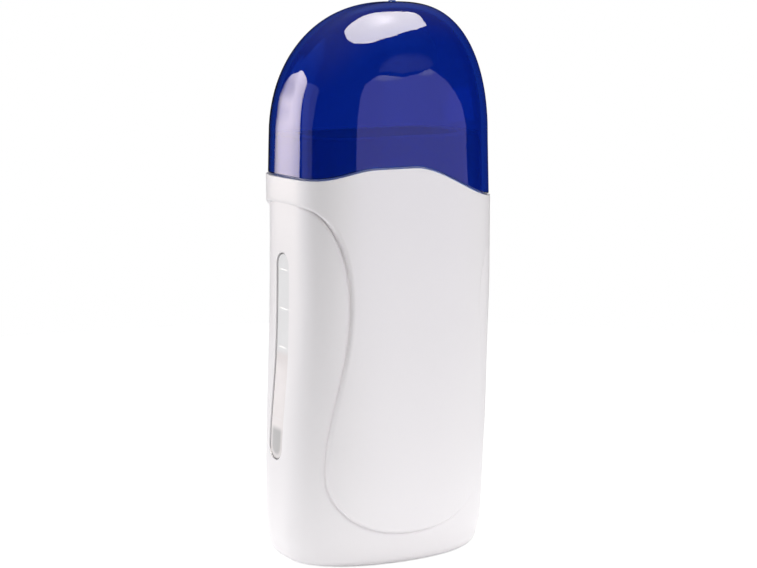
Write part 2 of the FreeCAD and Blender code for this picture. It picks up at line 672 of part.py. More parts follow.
# ---------------------------------------------------------------------------- chamber

def heating_sleeve():
    sleeve = sleeve_outline(0, SLEEVE_BOTTOM_Z, SLEEVE_TOP_Z)
    bore = rounded_prism(CHAMBER_WIDTH, CHAMBER_DEPTH, CHAMBER_CORNER, CHAMBER_Y,
                         SLEEVE_BOTTOM_Z - 1, SLEEVE_TOP_Z + 1)
    half = LEVEL_SLOT_WIDTH / 2
    low, high = WINDOW_LOW_Z + half, WINDOW_HIGH_Z - half
    slot = [box(-FAR, 0, CHAMBER_Y - half, CHAMBER_Y + half, low, high)]
    slot += [rod(half, (-FAR, CHAMBER_Y, z), (0, CHAMBER_Y, z)) for z in (low, high)]
    return sleeve.cut([bore] + slot)


def chamber_floor():
    """Bulkhead that carries the sleeve, with a plug in it and holes for the wires."""
    plate = casing_form(True, CASING_WALL + FIT_GAP).common(slab(PLATE_Z, SLEEVE_BOTTOM_Z))
    width, depth = CHAMBER_WIDTH - 2 * PLUG_GAP, CHAMBER_DEPTH - 2 * PLUG_GAP
    plug = rounded_prism(width, depth, CHAMBER_CORNER - PLUG_GAP, CHAMBER_Y, PLATE_Z,
                         SLEEVE_BOTTOM_Z + PLUG_HEIGHT)
    radius = WIRE_RADIUS + WIRE_HOLE_GAP
    holes = [rod(radius, (x, y, PLATE_Z - 1), (x, y, SLEEVE_BOTTOM_Z + 1)) for x, y in WIRE_HOLES]
    holes.append(lamp_rod(LAMP_BORE, PLATE_Z - 1, SLEEVE_BOTTOM_Z + 1))
    return plate.fuse(plug).cut(holes)


# ----------------------------------------------------------------------------- heater

def heater_block():
    """Aluminium cradle on the chamber's front, with a rib each side of the chip pack."""
    half, inner = HEATER_HALF_WIDTH, HEATER_HALF_WIDTH - HEATER_RIB
    base = box(-half, half, HEATER_FRONT_Y, SLEEVE_FRONT_Y, HEATER_LOW_Z, HEATER_TOP_Z)
    ribs = [box(low, low + HEATER_RIB, CLAMP_BACK_Y, HEATER_FRONT_Y, HEATER_LOW_Z, HEATER_TOP_Z)
            for low in (-half, inner)]
    return fuse_all([base] + ribs).cut(clamp_screw_rods(CLAMP_SCREW_RADIUS))


def clamp_screw_places():
    low, high = HEATER_LOW_Z + CLAMP_SCREW_INSET, HEATER_TOP_Z - CLAMP_SCREW_INSET
    return [(x, z) for x in (-CLAMP_SCREW_X, CLAMP_SCREW_X) for z in (low, high)]


def clamp_screw_rods(radius):
    outer = CLAMP_BACK_Y - CLAMP_THICKNESS
    return [rod(radius, (x, outer, z), (x, outer + CLAMP_SCREW_LENGTH, z)) for x, z in clamp_screw_places()]


def clamp_screw_heads(radius):
    outer = CLAMP_BACK_Y - CLAMP_THICKNESS
    sink = radius - CLAMP_SCREW_RADIUS
    return [Part.makeCone(radius, CLAMP_SCREW_RADIUS, sink, Vector(x, outer, z), Vector(0, 1, 0))
            for x, z in clamp_screw_places()]


def clamp_plate():
    plate = box(-HEATER_HALF_WIDTH, HEATER_HALF_WIDTH, CLAMP_BACK_Y - CLAMP_THICKNESS, CLAMP_BACK_Y,
                HEATER_LOW_Z, HEATER_TOP_Z)
    holes = clamp_screw_rods(CLAMP_SCREW_RADIUS + FIT_GAP)
    return plate.cut(holes + clamp_screw_heads(CLAMP_SCREW_HEAD_RADIUS))


def clamp_screws():
    screws = []
    for shank, head in zip(clamp_screw_rods(CLAMP_SCREW_RADIUS - PIN_GAP),
                           clamp_screw_heads(CLAMP_SCREW_HEAD_RADIUS - PIN_GAP)):
        screws.append(shank.fuse(head))
    return Part.makeCompound(screws)


def stack_layer(depth, thickness, half_width, z_low, z_high):
    """Flat layer of the chip pack, depth in front of the cradle's base."""
    front = HEATER_FRONT_Y - depth - thickness
    return box(-half_width, half_width, front, front + thickness, z_low, z_high)


def insulation_film():
    """Film folded round the chip pack, open at its top and bottom."""
    z_low, z_high = HEATER_LOW_Z + POCKET_GAP, HEATER_TOP_Z - POCKET_GAP
    outer = stack_layer(0, STACK_DEPTH, POCKET_HALF, z_low, z_high)
    inner = stack_layer(FILM_THICKNESS, STACK_DEPTH - 2 * FILM_THICKNESS, POCKET_HALF - FILM_THICKNESS,
                        z_low - 1, z_high + 1)
    return outer.cut(inner)


def contact_plates():
    """Two brass plates, one each side of the chips, with a soldering tab below."""
    half = POCKET_HALF - FILM_THICKNESS - FIT_GAP
    z_low, z_high = HEATER_LOW_Z + 2 * POCKET_GAP, HEATER_TOP_Z - 2 * POCKET_GAP
    plates = []
    for depth, side in ((FILM_THICKNESS, -1), (FILM_THICKNESS + CONTACT_THICKNESS + CHIP_THICKNESS, 1)):
        plate = stack_layer(depth, CONTACT_THICKNESS, half, z_low, z_high)
        tab = stack_layer(depth, CONTACT_THICKNESS, CONTACT_TAB_WIDTH / 2, z_low - CONTACT_TAB_DROP, z_low)
        tab.translate(Vector(side * CONTACT_TAB_X, 0, 0))
        plates.append(plate.fuse(tab).removeSplitter())
    return Part.makeCompound(plates)


def ptc_chips():
    half = POCKET_HALF - FILM_THICKNESS - 2 * FIT_GAP
    z_low, z_high = HEATER_LOW_Z + 3 * POCKET_GAP, HEATER_TOP_Z - 3 * POCKET_GAP
    middle = (z_low + z_high) / 2
    depth = FILM_THICKNESS + CONTACT_THICKNESS
    return Part.makeCompound([stack_layer(depth, CHIP_THICKNESS, half, z_low, middle - CHIP_GAP / 2),
                              stack_layer(depth, CHIP_THICKNESS, half, middle + CHIP_GAP / 2, z_high)])


# ------------------------------------------------------------------------ thermal fuse

FUSE_OUTER_RADIUS = FUSE_RADIUS + FUSE_SLEEVE_WALL
FUSE_Y = SLEEVE_FRONT_Y - FUSE_OUTER_RADIUS - PIN_GAP


def fuse_rod(radius, length):
    return rod(radius, (-length / 2, FUSE_Y, FUSE_Z), (length / 2, FUSE_Y, FUSE_Z))


def thermal_fuse():
    return fuse_rod(FUSE_RADIUS - PIN_GAP, FUSE_LENGTH).fuse(
        fuse_rod(FUSE_LEAD_RADIUS, FUSE_LENGTH + 2 * FUSE_LEAD_LENGTH))


def fuse_sleeve():
    return fuse_rod(FUSE_OUTER_RADIUS, FUSE_SLEEVE_LENGTH).cut(fuse_rod(FUSE_RADIUS, FUSE_SLEEVE_LENGTH + 2))


def fuse_clip():
    """Spring strap over the fuse, with a foot above and below it on the chamber."""
    half = FUSE_CLIP_WIDTH / 2
    inner, outer = FUSE_OUTER_RADIUS + PIN_GAP, FUSE_OUTER_RADIUS + PIN_GAP + FUSE_CLIP_THICKNESS
    arch = rod(outer, (-half, FUSE_Y, FUSE_Z), (half, FUSE_Y, FUSE_Z))
    legs = box(-half, half, FUSE_Y, SLEEVE_FRONT_Y, FUSE_Z - outer, FUSE_Z + outer)
    feet = box(-half, half, SLEEVE_FRONT_Y - FUSE_CLIP_THICKNESS, SLEEVE_FRONT_Y,
               FUSE_Z - outer - FUSE_CLIP_FOOT, FUSE_Z + outer + FUSE_CLIP_FOOT)
    strap = fuse_all([arch, legs, feet])
    passage = box(-half - 1, half + 1, FUSE_Y, SLEEVE_FRONT_Y + outer, FUSE_Z - inner, FUSE_Z + inner)
    beyond = box(-half - 1, half + 1, SLEEVE_FRONT_Y, SLEEVE_FRONT_Y + outer, FUSE_Z - FAR, FUSE_Z + FAR)
    return strap.cut([rod(inner, (-half - 1, FUSE_Y, FUSE_Z), (half + 1, FUSE_Y, FUSE_Z)), passage, beyond])


# -------------------------------------------------------------------------- pilot lamp

def lamp_rod(radius, z_low, z_high):
    return rod(radius, (LAMP_X, LAMP_Y, z_low), (LAMP_X, LAMP_Y, z_high))


def pilot_lamp():
    """Neon lamp: a glass bulb with a round tip."""
    shoulder = LAMP_LOW_Z + LAMP_LENGTH - LAMP_RADIUS
    bulb = lamp_rod(LAMP_RADIUS, LAMP_LOW_Z, shoulder)
    return bulb.fuse(Part.makeSphere(LAMP_RADIUS, Vector(LAMP_X, LAMP_Y, shoulder)))


def lamp_holder():
    """Pillar on the floor plate that grips the lamp's base, hollow for its resistor and leads."""
    half = LAMP_HOLDER_HALF
    pillar = box(LAMP_X - half, LAMP_X + half, LAMP_Y - half, LAMP_Y + half,
                 SLEEVE_BOTTOM_Z, LAMP_LOW_Z + LAMP_HOLDER_GRIP)
    return pillar.cut([lamp_rod(LAMP_RADIUS + PIN_GAP, LAMP_LOW_Z, FAR),
                       lamp_rod(LAMP_BORE, SLEEVE_BOTTOM_Z - 1, LAMP_LOW_Z + 1)])


def lamp_resistor():
    """Series resistor that hangs on the lamp's lead, inside the holder."""
    low = RESISTOR_TOP_Z - RESISTOR_LENGTH
    body = rod(RESISTOR_RADIUS, (LAMP_X, RESISTOR_Y, low), (LAMP_X, RESISTOR_Y, RESISTOR_TOP_Z))
    body = body.makeFillet(RESISTOR_RADIUS / 2, [e for e in body.Edges if len(e.Vertexes) == 1])
    lead = rod(LAMP_LEAD_RADIUS, (LAMP_X, RESISTOR_Y, RESISTOR_TOP_Z - 1), (LAMP_X, RESISTOR_Y, LAMP_LOW_Z))
    return body.fuse(lead)


# ------------------------------------------------------------------------- mains inlet

def stadium(length, width, z_low, z_high):
    """Upright prism with straight sides and round ends."""
    reach = (length - width) / 2
    bar = box(-reach, reach, -width / 2, width / 2, z_low, z_high)
    ends = [rod(width / 2, (x, 0, z_low), (x, 0, z_high)) for x in (-reach, reach)]
    return fuse_all([bar] + ends)


def pin_rods(radius, z_low, z_high):
    return [rod(radius, (x, 0, z_low), (x, 0, z_high)) for x in (-PIN_SPACING / 2, PIN_SPACING / 2)]


def inlet_socket():
    nozzle = stadium(INLET_LENGTH, INLET_WIDTH, INLET_RECESS, INLET_TOP_Z)
    flange_z = FOOT_WALL + SEAT_GAP
    flange = box(-INLET_FLANGE_LENGTH / 2, INLET_FLANGE_LENGTH / 2, -INLET_FLANGE_WIDTH / 2,
                 INLET_FLANGE_WIDTH / 2, flange_z, flange_z + INLET_FLANGE)
    recess = stadium(INLET_LENGTH - 2 * INLET_WALL, INLET_WIDTH - 2 * INLET_WALL, -1, INLET_DEPTH)
    return nozzle.fuse(flange).cut([recess] + pin_rods(PIN_RADIUS + PIN_GAP, 0, FAR))


def inlet_pins():
    pins = []
    for pin in pin_rods(PIN_RADIUS, PIN_RECESS, INLET_TOP_Z):
        x = pin.CenterOfMass.x
        tip = [e for e in pin.Edges if e.BoundBox.ZMax < PIN_RECESS + 0.1 and len(e.Vertexes) == 1]
        tail = box(x - TAIL_WIDTH / 2, x + TAIL_WIDTH / 2, -TAIL_THICKNESS / 2, TAIL_THICKNESS / 2,
                   INLET_TOP_Z, TERMINAL_TOP_Z)
        pins.append(pin.makeFillet(PIN_RADIUS / 2, tip).fuse(tail))
    return Part.makeCompound(pins)


def terminal_side(side):
    """Where a terminal's barrel starts and ends along X, and where its wire starts."""
    start = side * (PIN_SPACING / 2 + TERMINAL_WIDTH / 2)
    end = start + side * TERMINAL_BARREL_LENGTH
    return start, end, end - side * WIRE_GRIP


def crimp_terminals():
    """Flag terminals: a socket over each pin's tail and a barrel out to the side."""
    terminals = []
    for side in (-1, 1):
        x = side * PIN_SPACING / 2
        start, end, wire_start = terminal_side(side)
        socket = box(x - TERMINAL_WIDTH / 2, x + TERMINAL_WIDTH / 2, -TERMINAL_DEPTH / 2, TERMINAL_DEPTH / 2,
                     INLET_TOP_Z + SEAT_GAP, TERMINAL_TOP_Z)
        slot = box(x - TAIL_WIDTH / 2 - PIN_GAP, x + TAIL_WIDTH / 2 + PIN_GAP,
                   -TAIL_THICKNESS / 2 - PIN_GAP, TAIL_THICKNESS / 2 + PIN_GAP, 0, FAR)
        barrel = rod(TERMINAL_BARREL_RADIUS, (x, 0, TERMINAL_Z), (end, 0, TERMINAL_Z))
        bore = rod(WIRE_RADIUS + PIN_GAP, (wire_start, 0, TERMINAL_Z), (end + side, 0, TERMINAL_Z))
        terminals.append(socket.fuse(barrel).cut([slot, bore]))
    return Part.makeCompound(terminals)


# ------------------------------------------------------------------------------ wiring

WIRE_RISE_X = SLEEVE_SIDE_X + WIRE_OFF_SLEEVE
WIRE_HOLES = ((WIRE_RISE_X, LIVE_Y), (WIRE_RISE_X, NEUTRAL_Y))
WIRE_TURN_Z = (TERMINAL_TOP_Z + PLATE_Z) / 2 - WIRE_RADIUS


def round_corner(degrees, z):
    """Point beside the sleeve's front corner on the blind side, degrees round from +X."""
    radius = CHAMBER_CORNER + SLEEVE_WALL + WIRE_OFF_SLEEVE - WIRE_RADIUS / 2
    x = CHAMBER_WIDTH / 2 - CHAMBER_CORNER + radius * math.cos(math.radians(degrees))
    y = CHAMBER_Y - CHAMBER_DEPTH / 2 + CHAMBER_CORNER - radius * math.sin(math.radians(degrees))
    return x, y, z


def contact_tab_z():
    """Height at which a wire crosses the soldering tabs."""
    return HEATER_LOW_Z + 2 * POCKET_GAP - CONTACT_TAB_DROP + WIRE_RADIUS


def live_wire():
    """From the inlet up the blind side and round the chamber's corner to the fuse."""
    end, start = terminal_side(1)[1:]
    lead = FUSE_LENGTH / 2 + FUSE_LEAD_LENGTH
    return tube([(start, 0, TERMINAL_Z), (end + WIRE_LEAD, 0, TERMINAL_Z),
                 (WIRE_RISE_X - WIRE_SLANT, LIVE_Y, WIRE_TURN_Z), (WIRE_RISE_X, LIVE_Y, WIRE_TURN_Z),
                 (WIRE_RISE_X, LIVE_Y, FUSE_Z - 20.0), round_corner(25, FUSE_Z - 8.0),
                 round_corner(55, FUSE_Z - 2.0), round_corner(85, FUSE_Z), (lead, FUSE_Y, FUSE_Z)],
                WIRE_RADIUS)


def neutral_wire():
    """From the inlet across the foot, up the blind side and round to the outer contact plate."""
    end, start = terminal_side(-1)[1:]
    left = end - WIRE_LEAD
    pass_y = INLET_FLANGE_WIDTH / 2 + NEUTRAL_PASS
    tab_y = CLAMP_BACK_Y + FILM_THICKNESS - WIRE_RADIUS - PIN_GAP
    tab_z = contact_tab_z()
    return tube([(start, 0, TERMINAL_Z), (left, 0, TERMINAL_Z), (left, pass_y, TERMINAL_Z),
                 (-left, pass_y, WIRE_TURN_Z), (WIRE_RISE_X - WIRE_SLANT, NEUTRAL_Y, WIRE_TURN_Z),
                 (WIRE_RISE_X, NEUTRAL_Y, WIRE_TURN_Z), (WIRE_RISE_X, NEUTRAL_Y, tab_z - 24.0),
                 round_corner(8, tab_z - 12.0), round_corner(45, tab_z - 3.0), round_corner(72, tab_z),
                 (2 * CONTACT_TAB_X, tab_y, tab_z), (CONTACT_TAB_X, tab_y, tab_z)], WIRE_RADIUS)


def fuse_lead():
    """From the fuse's far end to the inner contact plate's tab."""
    lead = FUSE_LENGTH / 2 + FUSE_LEAD_LENGTH
    tab_y = HEATER_FRONT_Y - FILM_THICKNESS - CONTACT_THICKNESS - WIRE_RADIUS - PIN_GAP
    tab_z = contact_tab_z()
    turn = -lead - CONTACT_TAB_WIDTH
    return tube([(-lead, FUSE_Y, FUSE_Z), (turn, FUSE_Y, FUSE_Z), (turn, tab_y, tab_z),
                 (-CONTACT_TAB_X, tab_y, tab_z)], WIRE_RADIUS)


def lamp_leads():
    """Lamp to the neutral terminal, and resistor to the live one."""
    over = (TERMINAL_TOP_Z + PLATE_Z) / 2
    near_y = TERMINAL_DEPTH / 2 - LAMP_LEAD_RADIUS
    far_y = near_y + LAMP_LEAD_PITCH
    x = PIN_SPACING / 2
    turn = LAMP_X + 2 * LAMP_LENGTH / 3
    return Part.makeCompound([
        tube([(LAMP_X, BYPASS_Y, LAMP_LOW_Z), (LAMP_X, BYPASS_Y, over), (turn, near_y, over),
              (-x, near_y, over), (-x, near_y, TERMINAL_TOP_Z)], LAMP_LEAD_RADIUS),
        tube([(LAMP_X, RESISTOR_Y, RESISTOR_TOP_Z - RESISTOR_LENGTH), (LAMP_X, RESISTOR_Y, over),
              (turn, far_y, over), (x, far_y, over), (x, near_y, over),
              (x, near_y, TERMINAL_TOP_Z)], LAMP_LEAD_RADIUS)])


# --------------------------------------------------------------------------- the model

def build():
    whole = casing()
    return {
        "cap": cap(),
        "front_shell": front_shell(whole),
        "rear_shell": rear_shell(whole),
        "casing_screws": casing_screws(),
        "collar": collar(),
        "level_window": level_window(),
        "heating_sleeve": heating_sleeve(),
        "chamber_floor": chamber_floor(),
        "heater_block": heater_block(),
        "clamp_plate": clamp_plate(),
        "clamp_screws": clamp_screws(),
        "insulation_film": insulation_film(),
        "contact_plates": contact_plates(),
        "ptc_chips": ptc_chips(),
        "thermal_fuse": thermal_fuse(),
        "fuse_sleeve": fuse_sleeve(),
        "fuse_clip": fuse_clip(),
        "pilot_lamp": pilot_lamp(),
        "lamp_holder": lamp_holder(),
        "lamp_resistor": lamp_resistor(),
        "lamp_leads": lamp_leads(),
        "inlet_socket": inlet_socket(),
        "inlet_pins": inlet_pins(),
        "crimp_terminals": crimp_terminals(),
        "live_wire": live_wire(),
        "neutral_wire": neutral_wire(),
        "fuse_lead": fuse_lead(),
    }


os.makedirs("parts", exist_ok=True)
for node, shape in build().items():
    shape.exportStep("parts/" + node + ".step")
    print(node, len(shape.Solids), "solids", round(shape.Volume, 1), "mm3", shape.isValid())
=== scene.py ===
# %% [markdown]
# # A heater for roll-on wax with a see-through cap
# A white casing of two moulded shells stands on its foot. A raised panel hangs from the band
# under its wavy rim, a clear strip shows the cartridge's level, and a deep blue dome covers the
# cartridge's mouth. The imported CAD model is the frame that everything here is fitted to. Its
# nodes are in metres, with the wide front towards -Y and the level window towards -X. Four of
# them get a finer outside here: the two shells, the cap and the window. The rest stay as they
# are and only get their materials.

# %% Load the frame
import math

import bpy
import numpy as np
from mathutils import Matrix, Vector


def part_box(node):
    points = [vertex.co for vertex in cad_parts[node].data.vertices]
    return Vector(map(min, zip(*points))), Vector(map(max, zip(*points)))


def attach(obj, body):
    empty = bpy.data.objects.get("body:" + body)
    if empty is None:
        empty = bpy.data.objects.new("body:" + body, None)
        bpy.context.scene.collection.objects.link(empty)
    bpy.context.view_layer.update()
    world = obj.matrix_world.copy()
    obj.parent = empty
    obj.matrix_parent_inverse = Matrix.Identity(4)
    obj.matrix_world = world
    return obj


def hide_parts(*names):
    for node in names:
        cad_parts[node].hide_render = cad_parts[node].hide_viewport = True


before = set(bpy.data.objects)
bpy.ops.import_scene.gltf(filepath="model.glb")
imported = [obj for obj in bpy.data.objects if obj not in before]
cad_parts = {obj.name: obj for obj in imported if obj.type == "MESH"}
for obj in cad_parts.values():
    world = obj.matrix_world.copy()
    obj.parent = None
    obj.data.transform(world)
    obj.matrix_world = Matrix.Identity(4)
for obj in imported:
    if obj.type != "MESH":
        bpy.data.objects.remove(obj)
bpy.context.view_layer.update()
MM = 0.001

# %% [markdown]
# ## Reading the casing's sizes from the frame
# The surfaces below are worked out in millimetres. Every size that the CAD parts already have is
# measured from their boxes, so a change to the frame carries over. Only the shape of the curves
# between those places is given by numbers of its own.

# %% Sizes that come from the frame
def node_box(name):
    """Lowest and highest corner of a CAD node in millimetres."""
    low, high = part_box(name)
    return np.array(low) / MM, np.array(high) / MM


shell_high = node_box("front_shell")[1]
cap_low, cap_high = node_box("cap")
window_low, window_high = node_box("level_window")

CREST_RISE, SOLID_CAP_GAP, GATE_HEIGHT = 3.4, 0.3, 0.35
HALF_DEPTH = node_box("rear_shell")[1][1]
RIM_CREST_Z = shell_high[2]
RIM_LEFT_Z = RIM_CREST_Z - CREST_RISE
RIM_RIGHT_Z = cap_low[2] - SOLID_CAP_GAP
CAP_TOP_Z = cap_high[2] - GATE_HEIGHT
print("half depth:", round(HALF_DEPTH, 2))
print("rim heights:", round(RIM_LEFT_Z, 1), round(RIM_CREST_Z, 1), round(RIM_RIGHT_Z, 1))

# %% [markdown]
# ## From arrays to a mesh
# A smooth moulding is a function of two parameters on a grid. numpy works out all the points at
# once, neighbouring patches that share an edge are welded there, and the finished arrays go into
# one mesh. The alternative, modelling by hand with subdivision surfaces, gives less control of
# where an edge runs.

# %% Smooth steps, arches, grids and welding
def ease(t):
    """Smooth step from 0 to 1: three t squared less two t cubed, level at both ends."""
    t = np.clip(t, 0.0, 1.0)
    return t * t * (3.0 - 2.0 * t)


def ramp(value, start, end):
    """The smooth step of a value, 0 up to its start and 1 from its end."""
    return ease((value - start) / (end - start))


def arch(share, power):
    """Quarter of a superellipse: the power-th root of one less the share to that power."""
    return np.maximum(1 - share ** power, 0.0) ** (1 / power)


def grid_faces(rows, columns, first=0, wrap=False):
    """Corner numbers of the cells of a grid whose points are stored row after row."""
    down = np.arange(rows - 1)[:, None]
    across = np.arange(columns if wrap else columns - 1)[None, :]
    beside = (across + 1) % columns
    corners = [down * columns + across, down * columns + beside,
               (down + 1) * columns + beside, (down + 1) * columns + across]
    return first + np.stack(corners, axis=-1).reshape(-1, 4)


def weld(points, faces):
    """Points that coincide become one. Returns the kept points' numbers and the new faces."""
    _, kept, renumbered = np.unique(np.round(points, 5), axis=0, return_index=True,
                                    return_inverse=True)
    return kept, renumbered.reshape(-1)[faces]


def open_edges(faces):
    """The directed edges that belong to one face only, as pairs of point numbers."""
    starts, ends = faces.reshape(-1), np.roll(faces, -1, axis=1).reshape(-1)
    real = starts != ends
    starts, ends = starts[real], ends[real]
    count = max(starts.max(), ends.max()) + 1
    key = starts.astype(np.int64) * count + ends
    back = ends.astype(np.int64) * count + starts
    lone = ~np.isin(back, key)
    return np.stack([starts[lone], ends[lone]], axis=1)


def without_repeats(faces):
    """Quads as lists. A quad with two equal neighbours becomes a triangle."""
    same = faces == np.roll(faces, -1, axis=1)
    whole = faces[~same.any(axis=1)].tolist()
    pinched = faces[same.sum(axis=1) == 1]
    repeated = np.argmax(pinched == np.roll(pinched, -1, axis=1), axis=1)
    order = (repeated[:, None] + 1 + np.arange(3)) % 4
    return whole + np.take_along_axis(pinched, order, axis=1).tolist()


print("smooth step at a quarter, half and three quarters:", ease(0.25), ease(0.5), ease(0.75))

# %% [markdown]
# ## Pieces with rounded edges
# Every piece is one mesh object that rides on its body. Mould makers break every sharp edge, and
# light catches there, so a Bevel modifier rounds the open edges of each wall by a few tenths of a
# millimetre. The edges are picked by their points' numbers, each with a weight of its own.

# %% Pieces, rounding and walls
def new_piece(name, points, faces, body, replaces=(), sharp_over=35.0):
    """A mesh object from points in millimetres, smooth except where it turns sharply."""
    mesh = bpy.data.meshes.new(name)
    mesh.from_pydata((points * MM).tolist(), [], without_repeats(faces))
    mesh.validate()
    mesh.shade_smooth()
    mesh.set_sharp_from_angle(angle=math.radians(sharp_over))
    piece = bpy.data.objects.new(name, mesh)
    bpy.context.scene.collection.objects.link(piece)
    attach(piece, body)
    if replaces:
        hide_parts(*replaces)
    print(name, "has", len(mesh.vertices), "points and", len(mesh.polygons), "faces")
    return piece


def round_edges(piece, edges, radius, weights=1.0, segments=2):
    """Rounds the given edges of a piece with a Bevel modifier, each by its weight's share."""
    mesh = piece.data
    pairs = np.zeros(len(mesh.edges) * 2, np.int32)
    mesh.edges.foreach_get("vertices", pairs)
    pairs = np.sort(pairs.reshape(-1, 2), axis=1).astype(np.int64)
    wanted = np.sort(edges, axis=1).astype(np.int64)
    count = len(mesh.vertices)
    key, wanted_key = pairs[:, 0] * count + pairs[:, 1], wanted[:, 0] * count + wanted[:, 1]
    order = np.argsort(wanted_key)
    found = np.clip(np.searchsorted(wanted_key[order], key), 0, len(order) - 1)
    weights = np.broadcast_to(weights, wanted_key.shape)[order][found]
    weight = np.where(wanted_key[order][found] == key, weights, 0.0)
    layer = mesh.attributes.new("bevel_weight_edge", "FLOAT", "EDGE")
    layer.data.foreach_set("value", weight.astype(np.float32))
    sharp = np.zeros(len(mesh.edges), bool)
    mesh.attributes["sharp_edge"].data.foreach_get("value", sharp)
    mesh.attributes["sharp_edge"].data.foreach_set("value", sharp & (weight == 0))
    bevel = piece.modifiers.new("edge_rounding", "BEVEL")
    bevel.limit_method = "WEIGHT"
    bevel.width = radius * MM
    bevel.segments = segments
    bevel.harden_normals = True


def walled(outer, inner, faces):
    """Closes an outer and an inner skin of the same layout into one wall.

    Both skins share the numbering of faces. The inner one is turned over, and each open edge of
    the outer skin is joined to the same edge of the inner one."""
    kept, faces = weld(outer, faces)
    outer, inner = outer[kept], inner[kept]
    edges = open_edges(faces)
    shift = len(outer)
    rim = np.stack([edges[:, 1], edges[:, 0], edges[:, 0] + shift, edges[:, 1] + shift], axis=1)
    everything = np.concatenate([faces, faces[:, ::-1] + shift, rim])
    return np.concatenate([outer, inner]), everything, np.concatenate([edges, edges + shift])


# %% [markdown]
# ## The casing's plan
# Seen from above, the casing is a superellipse, a shape between an ellipse and a rectangle. In
# front it is rounder low down and squarer under the rim. It flares a little towards the hip and
# tapers into a rounded foot. A level from 0 on the grips to 1 on the raised panel and band lets
# one formula give both surfaces and the rounded step between them. A mould is cut the same way:
# the whole block first, then the grips a little deeper.

# %% Plan of the casing at a height
HIP_FLARE, HIP_Z, HIP_TOP_Z = 1.9, 27.0, 97.0
TOE_TAPER, TOE_FRONT_TAPER, TOE_REAR_TAPER, TOE_Z = 1.9, 0.5, 0.55, 10.5
PLAN_POWER, FRONT_HIP_POWER = 3.7, 2.55
FRONT_TOE_FALL, FRONT_TOE_Z = 0.4, 36.0
SIDE_RELIEF = 0.7
FACE_RELIEF_TOP, FACE_RELIEF_LOW = 1.9, 1.25
FACE_RELIEF_TOP_Z, FACE_RELIEF_LOW_Z = 115.0, 85.0
# on the plain side the relief fades in two steps of height, round the corner of the plan
FADE_HIP_Z, FADE_HIP_RISE, FADE_HIP_SHARE = 30.0, 20.0, 0.45
FADE_RIM_Z, FADE_RIM_RISE = 62.0, 36.0
FADE_CORNER, FADE_CORNER_LENGTH = 0.72, 0.22
# shares of the half width between which the step's wall stops standing upright
UPRIGHT_SHARE, UPRIGHT_LENGTH = 0.75, 0.23


def face_relief(z):
    """How far the grips lie below the raised surface on the wide faces at a height."""
    rise = ramp(z, FACE_RELIEF_LOW_Z, FACE_RELIEF_TOP_Z)
    return FACE_RELIEF_LOW + (FACE_RELIEF_TOP - FACE_RELIEF_LOW) * rise


def flare(z):
    """How much wider each narrow side is at a height than under the rim."""
    return HIP_FLARE * ramp(z, HIP_TOP_Z, HIP_Z) - TOE_TAPER * ramp(z, TOE_Z, 0)


HALF_WIDTH = shell_high[0] + SIDE_RELIEF - flare(np.linspace(0, HIP_TOP_Z, 500)).max()
print("half width under the rim:", round(HALF_WIDTH, 2))


def casing_section(z, level, rear, inset):
    """Half width, depth and power of the plan at height z, for the front or the rear half."""
    hip, toe = ramp(z, HIP_TOP_Z, HIP_Z), ramp(z, TOE_Z, 0)
    width = HALF_WIDTH + flare(z) - inset - SIDE_RELIEF * (1 - level)
    depth = HALF_DEPTH - inset - face_relief(z) * (1 - level)
    if rear:
        return width, depth - TOE_REAR_TAPER * toe, PLAN_POWER + 0 * z
    power = PLAN_POWER + (FRONT_HIP_POWER - PLAN_POWER) * hip
    power = power - FRONT_TOE_FALL * ramp(z, FRONT_TOE_Z, 0)
    return width, depth - TOE_FRONT_TAPER * toe, power


# %% [markdown]
# ## Points by their distance along the surface
# Edges that cross the rounded corners keep their shape when they are laid out on the unrolled
# surface, as a drawing on paper that is wrapped round the casing. So every point is given by its
# distance along the plan, from the middle of the wide face to the parting line, and its height.

# %% From distance and height to a point
# distance along the plan from the middle of a wide face, against the angle from that middle
angle_table = np.linspace(0.0, np.pi / 2, 4001)
table_sine, table_cosine = np.sin(angle_table), np.cos(angle_table)
table_reach = (table_sine ** PLAN_POWER + table_cosine ** PLAN_POWER) ** (-1 / PLAN_POWER)
table_x, table_y = HALF_WIDTH * table_sine * table_reach, HALF_DEPTH * table_cosine * table_reach
arc_table = np.concatenate([[0.0], np.cumsum(np.hypot(np.diff(table_x), np.diff(table_y)))])
ARC_END = arc_table[-1]
print("from the middle of the front to the parting line:", round(ARC_END, 1), "mm along the surface")


def merged(arc, z, share, level):
    """On the side without a window the grip comes back up to the raised surface as it turns
    the corner, nearly half of the way over the hip and all of it under the rim."""
    upward = FADE_HIP_SHARE * ease((z - FADE_HIP_Z) / FADE_HIP_RISE)
    upward = upward + (1 - FADE_HIP_SHARE) * ease((z - FADE_RIM_Z) / FADE_RIM_RISE)
    return level + (1 - level) * (arc > 0) * upward * ease((share - FADE_CORNER) / FADE_CORNER_LENGTH)


def place(arc, z, level, rear, inset, tuck=0.0):
    """Point of the casing at a distance along its plan, a height and a level.

    The distance is turned into the polar angle of the plan, and that into x as a share of the
    half width. A lower level keeps the raised surface's x on the wide faces, so the step's wall
    is upright there. y then follows from the superellipse."""
    angle = np.interp(np.abs(arc), arc_table, angle_table)
    power = casing_section(z, level, rear, inset)[2]
    share = np.sin(angle) * (np.sin(angle) ** power + np.cos(angle) ** power) ** (-1 / power)
    level = merged(arc, z, share, level)
    width, depth, power = casing_section(z, level, rear, inset)
    full_width = casing_section(z, 1.0, rear, inset)[0]
    width, depth, full_width = width - tuck, depth - tuck, full_width - tuck
    upright = 1 - ease((share - UPRIGHT_SHARE) / UPRIGHT_LENGTH)
    share = np.minimum(share * (1 + upright * (full_width / width - 1)), 1.0)
    y = depth * arch(share, power)
    return np.stack(np.broadcast_arrays(np.sign(arc) * width * share, y if rear else -y, z), axis=-1)


